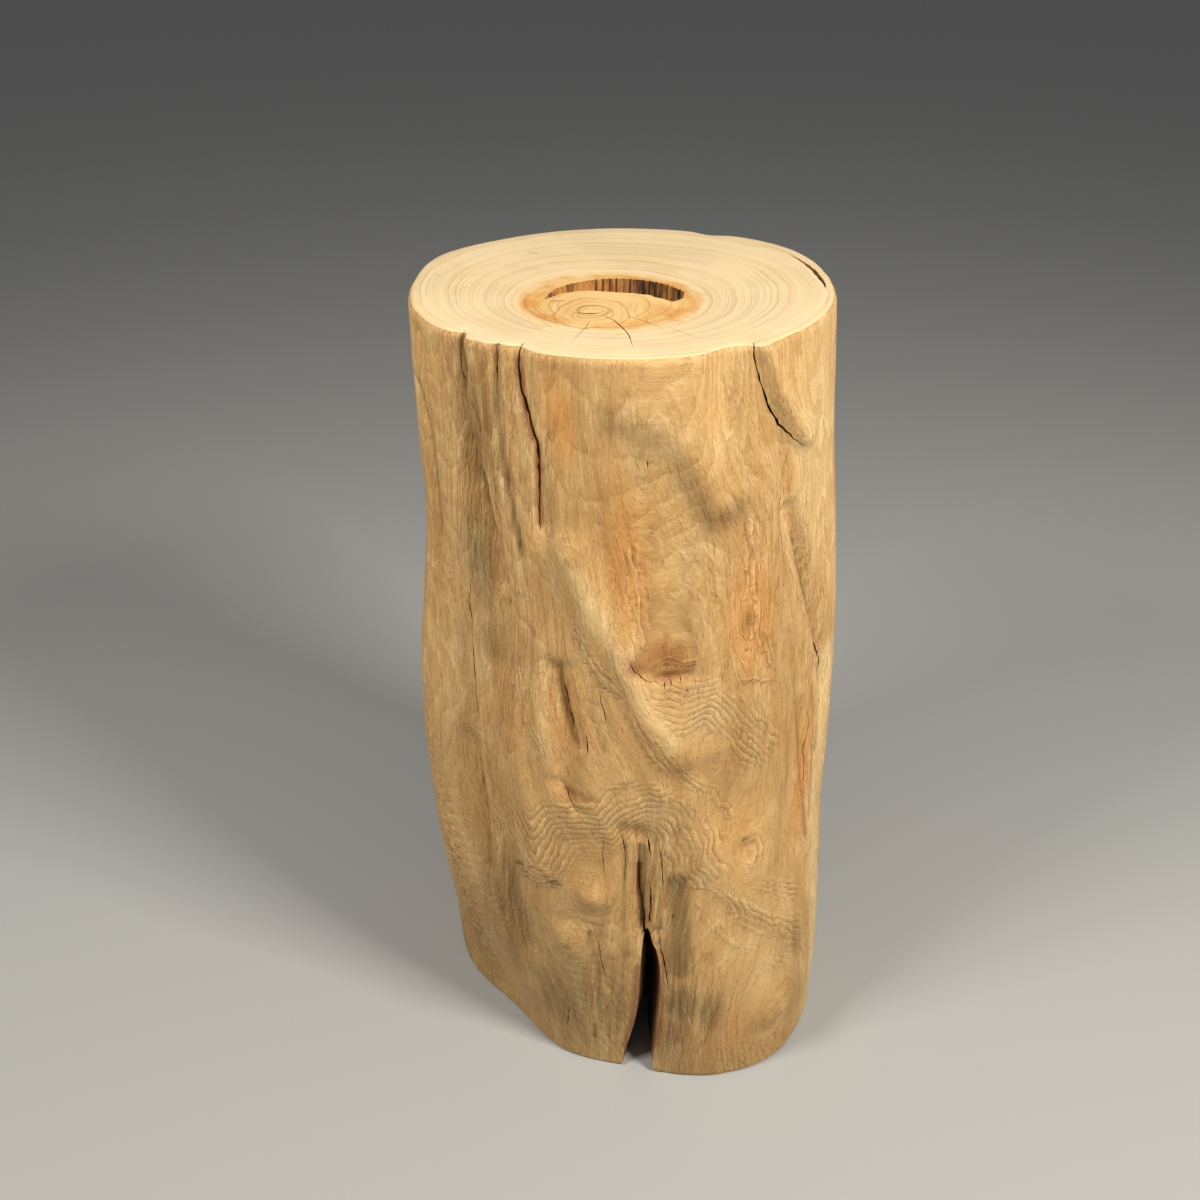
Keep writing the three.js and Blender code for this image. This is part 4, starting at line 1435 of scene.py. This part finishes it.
# %% Sawn ends
PITH = (-27, -80)
OUTLINE_MIDDLE = (1, 1)
OUTLINE_HALF = (180, 184)
RING_COUNT = 30
HEART_SHARE = 0.36
ALMOND_HALF = (30, 36)
# Dark threads round the pith: size against the almond, width, strength.
ALMOND_LINES = ((1.0, 0.05, 0.7), (0.8, 0.035, 0.4), (0.55, 0.05, 0.55), (0.35, 0.05, 0.5),
                (1.25, 0.03, 0.35), (1.6, 0.03, 0.3))
END_PALE = (0.78, 0.61, 0.36, 1)
END_BAND = (0.70, 0.505, 0.262, 1)
END_RING = (0.55, 0.375, 0.185, 1)
HEART = (0.78, 0.53, 0.215, 1)
HEART_ORANGE = (0.61, 0.27, 0.05, 1)
HEART_LINE = (0.42, 0.17, 0.05, 1)
FRONT_OF_HEART = -0.125
LEVEL_WITH_PITH = -0.085
END_RELIEF = 0.0004


def ring_share(place):
    """0 at the pith, 1 at the outline, and the same all along one ring."""
    offset = []
    pith = []
    for k in range(2):
        pith_here = (PITH[k] - PLUMB_TO_MIDDLE[k]) * MM
        middle_here = (OUTLINE_MIDDLE[k] - PLUMB_TO_MIDDLE[k]) * MM
        half = OUTLINE_HALF[k] * MM
        offset.append((axis(place, k) - pith_here) / half)
        pith.append((pith_here - middle_here) / half)
    square = offset[0] * offset[0] + offset[1] * offset[1] + 1e-6
    cross = offset[0] * pith[0] + offset[1] * pith[1]
    rest = pith[0] ** 2 + pith[1] ** 2 - 1
    grown = ((cross * cross - square * rest).root() - cross) / square
    return 1 / grown


def oval_share(place, middle, half):
    """0 at the middle of an oval in plan, 1 on the oval."""
    square = None
    for k in range(2):
        offset = (axis(place, k) - (middle[k] - PLUMB_TO_MIDDLE[k]) * MM) / (half[k] * MM)
        square = offset * offset if square is None else square + offset * offset
    return square.root()


def along_rings(number, scale, detail=2):
    """A random field that is the same all along a ring."""
    row = node(number.material, "ShaderNodeCombineXYZ", {}, number * scale, 0.0, 0.0)
    return noise(row, detail)


def sawn_end(material):
    place = here(material)
    flat = stretch(place, 1, 1, 0.25)
    warp = noise(stretch(flat, 10, 10, 4), 2, 0.5) - 0.5
    wobble = noise(stretch(flat, 42, 42, 12), 3, 0.5) - 0.5
    share = ring_share(place) + warp * 0.085 + wobble * 0.012
    spaced = share * RING_COUNT + (along_rings(share, 16) - 0.5) * 6
    strength = along_rings(spaced, 0.8, 3)
    fade = noise(stretch(flat, 16, 16, 4), 2, 0.6)
    ring = spaced.part()
    line = ring.between(0.45, 0.9) * ring.between(1.0, 0.93)
    line = line * strength.between(0.38, 0.62) * fade.between(0.3, 0.6)
    fine_ring = (spaced * 2.7).part()
    fine_line = fine_ring.between(0.4, 0.85) * fine_ring.between(1.0, 0.9)
    fine_line = fine_line * fade.between(0.4, 0.65)

    colour = mix(strength.between(0.35, 0.68) * 0.75, END_PALE, END_BAND)
    colour = mix(line * 0.75, colour, END_RING)
    colour = mix(fine_line * 0.25, colour, END_RING)
    blotch = noise(stretch(place, 26, 26, 26), 4, 0.6)
    colour = mix(blotch.between(0.5, 0.75) * 0.3, colour, END_BAND)
    colour = mix(share.between(0.95, 1.0) * 0.5, colour, END_BAND)

    ragged = noise(stretch(place, 55, 55, 20), 4, 0.65) - 0.5
    edge = share + (blotch - 0.5) * 0.07 + ragged * 0.08
    halo = edge.between(HEART_SHARE + 0.12, HEART_SHARE)
    colour = mix(halo * 0.5, colour, HEART)
    behind = axis(place, 1).between(FRONT_OF_HEART, LEVEL_WITH_PITH) * 0.75 + 0.25
    rim_glow = edge.between(HEART_SHARE + 0.05, HEART_SHARE) * behind
    colour = mix(rim_glow * blotch.between(0.35, 0.6) * 0.7, colour, HEART_ORANGE)
    pit_share = oval_share(place, (PIT["x"], PIT["y"]), (PIT["radius"], PIT["radius"]))
    pit_glow = pit_share + ragged * 0.5
    colour = mix(pit_glow.between(1.3, 1.06) * 0.75, colour, HEART_ORANGE)
    heart = edge.between(HEART_SHARE + 0.02, HEART_SHARE - 0.05)
    rim = edge.between(HEART_SHARE - 0.19, HEART_SHARE - 0.02)
    heart_colour = mix(rim * behind * blotch.between(0.35, 0.6), HEART, HEART_ORANGE)
    heart_colour = mix(line * 0.75 + fine_line * 0.25, heart_colour, HEART_LINE)
    colour = mix(heart * 0.9, colour, heart_colour)
    seam = (share - HEART_SHARE * 0.95).size().between(0.012, 0.0)
    colour = mix(seam * 0.6 * blotch.between(0.45, 0.6), colour, HEART_LINE)
    shrink = oval_share(place, PITH, ALMOND_HALF)
    shrink = shrink + (noise(stretch(flat, 26, 26, 8), 3) - 0.5) * 0.9
    for size, width, plain in ALMOND_LINES:
        thread = (shrink - size).size().between(width, 0.0)
        colour = mix(thread * plain * fade.between(0.25, 0.5), colour, HEART_LINE)

    saw = noise(stretch(place, 520, 520, 520), 2, 0.5)
    colour = mix(saw.between(0.55, 0.8) * 0.12, colour, END_RING)
    roughness = 0.6 + line * 0.08
    height = line * -0.5 + fine_line * -0.25 + saw * 0.15
    finish_with(material, colour, roughness, height, END_RELIEF)


sawn_end(finishes[SAWN_END])
print("sawn end:", len(finishes[SAWN_END].node_tree.nodes), "nodes")

# %% [markdown]
# ## Raw wood inside
#
# Inside a crack or the hollow nobody has sanded: the wood is reddish brown with coarse fibres,
# and painted shade darkens it the deeper it lies. The pit's wall is orange at its left horn and
# almost black with old decay towards the right, in upright strips.

# %% Raw inside and pit wall
INSIDE_LIGHT = (0.32, 0.15, 0.052, 1)
# The dark colour serves both the dark fibres and painted shade in the depths.
INSIDE_DARK_AND_SHADE = (0.035, 0.016, 0.007, 1)
PIT_ORANGE = (0.55, 0.24, 0.06, 1)
PIT_BROWN = (0.16, 0.065, 0.02, 1)
PIT_BLACK = (0.03, 0.018, 0.01, 1)
PIT_PALE = (0.62, 0.38, 0.16, 1)
RAW_RELIEF = 0.002


def raw_inside(material):
    grain = stored_map(material, "grain", vector=True)
    fibres = noise(stretch(grain, 300, 300, 14), 4, 0.65)
    sunk = stored_map(material, "sunk")
    colour = mix(fibres.between(0.35, 0.7) * 0.6, INSIDE_LIGHT, INSIDE_DARK_AND_SHADE)
    # Painted shade: the deeper a point lies below the side, the darker it is.
    colour = mix(sunk.between(0.15, 0.9), colour, INSIDE_DARK_AND_SHADE)
    finish_with(material, colour, 0.85 + fibres * 0.1, fibres, RAW_RELIEF)


def pit_wall(material):
    place = here(material)
    strips = noise(stretch(place, 150, 150, 26), 4, 0.65)
    broad = noise(stretch(place, 60, 60, 10), 2, 0.5)
    left = (PIT["x"] - PIT["radius"] - PLUMB_TO_MIDDLE[0]) * MM
    middle = (PIT["x"] - PLUMB_TO_MIDDLE[0]) * MM
    decay = axis(place, 0).between(left + 0.02, middle + 0.02)
    colour = mix(strips.between(0.4, 0.6), PIT_ORANGE, PIT_BROWN)
    dark = mix(strips.between(0.42, 0.58), PIT_BROWN, PIT_BLACK)
    colour = mix(decay * broad.between(0.25, 0.6), colour, dark)
    colour = mix(strips.between(0.36, 0.26) * 0.7, colour, PIT_PALE)
    finish_with(material, colour, 0.8 + strips * 0.1, strips, RAW_RELIEF)


raw_inside(finishes[RAW_INSIDE])
pit_wall(finishes[PIT_WALL])
print("inside finishes are done")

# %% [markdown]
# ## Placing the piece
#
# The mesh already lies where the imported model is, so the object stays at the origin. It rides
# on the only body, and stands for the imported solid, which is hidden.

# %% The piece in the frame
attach(log, "root")
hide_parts("wood_block")
print("piece:", log.name)

# %% [markdown]
# ## Studio
#
# The floor is plain and pale. Two soft lamps stand before the block, a stronger one on the
# right and a weaker one on the left. Both hang well above it, because the sawn top is the
# brightest thing in the photograph. The world adds the light that walls would throw back.

# %% Floor and light
FLOOR_RADIUS = 14
FLOOR_GREY = (0.40, 0.395, 0.375, 1)
LAMP_SIZE = (0.6, 0.45)
# Each lamp: place, what it aims at, power in watts, colour.
LAMPS = {
    "right lamp": ((1.4, -1.1, 1.85), (0, 0, 0.5), 60, (1, 0.97, 0.91)),
    "left lamp": ((-1.3, -0.85, 1.85), (0, 0, 0.55), 32, (1, 0.97, 0.92)),
}
WORLD_COLOUR = (0.80, 0.82, 0.85, 1)
WORLD_STRENGTH = 0.2


def floor_disc():
    mesh = bmesh.new()
    bmesh.ops.create_circle(mesh, cap_ends=True, segments=96, radius=FLOOR_RADIUS)
    data = bpy.data.meshes.new("floor")
    mesh.to_mesh(data)
    mesh.free()
    made = placed("floor", data)
    paint = bpy.data.materials.new("studio floor")
    paint.use_nodes = True
    shader = paint.node_tree.nodes["Principled BSDF"]
    shader.inputs["Base Color"].default_value = FLOOR_GREY
    shader.inputs["Roughness"].default_value = 0.75
    data.materials.append(paint)


def soft_lamp(name, place, aim, power, colour):
    data = bpy.data.lights.new(name, "AREA")
    data.shape = "RECTANGLE"
    data.size, data.size_y = LAMP_SIZE
    data.energy = power
    data.color = colour
    lamp = placed(name, data)
    lamp.location = place
    lamp.rotation_euler = (Vector(aim) - Vector(place)).to_track_quat("-Z", "Y").to_euler()


floor_disc()
for name, settings in LAMPS.items():
    soft_lamp(name, *settings)
world = bpy.data.worlds.new("studio")
world.use_nodes = True
background = world.node_tree.nodes["Background"]
background.inputs["Color"].default_value = WORLD_COLOUR
background.inputs["Strength"].default_value = WORLD_STRENGTH
bpy.context.scene.world = world
bpy.context.scene.view_settings.view_transform = "Standard"
print("studio is lit")
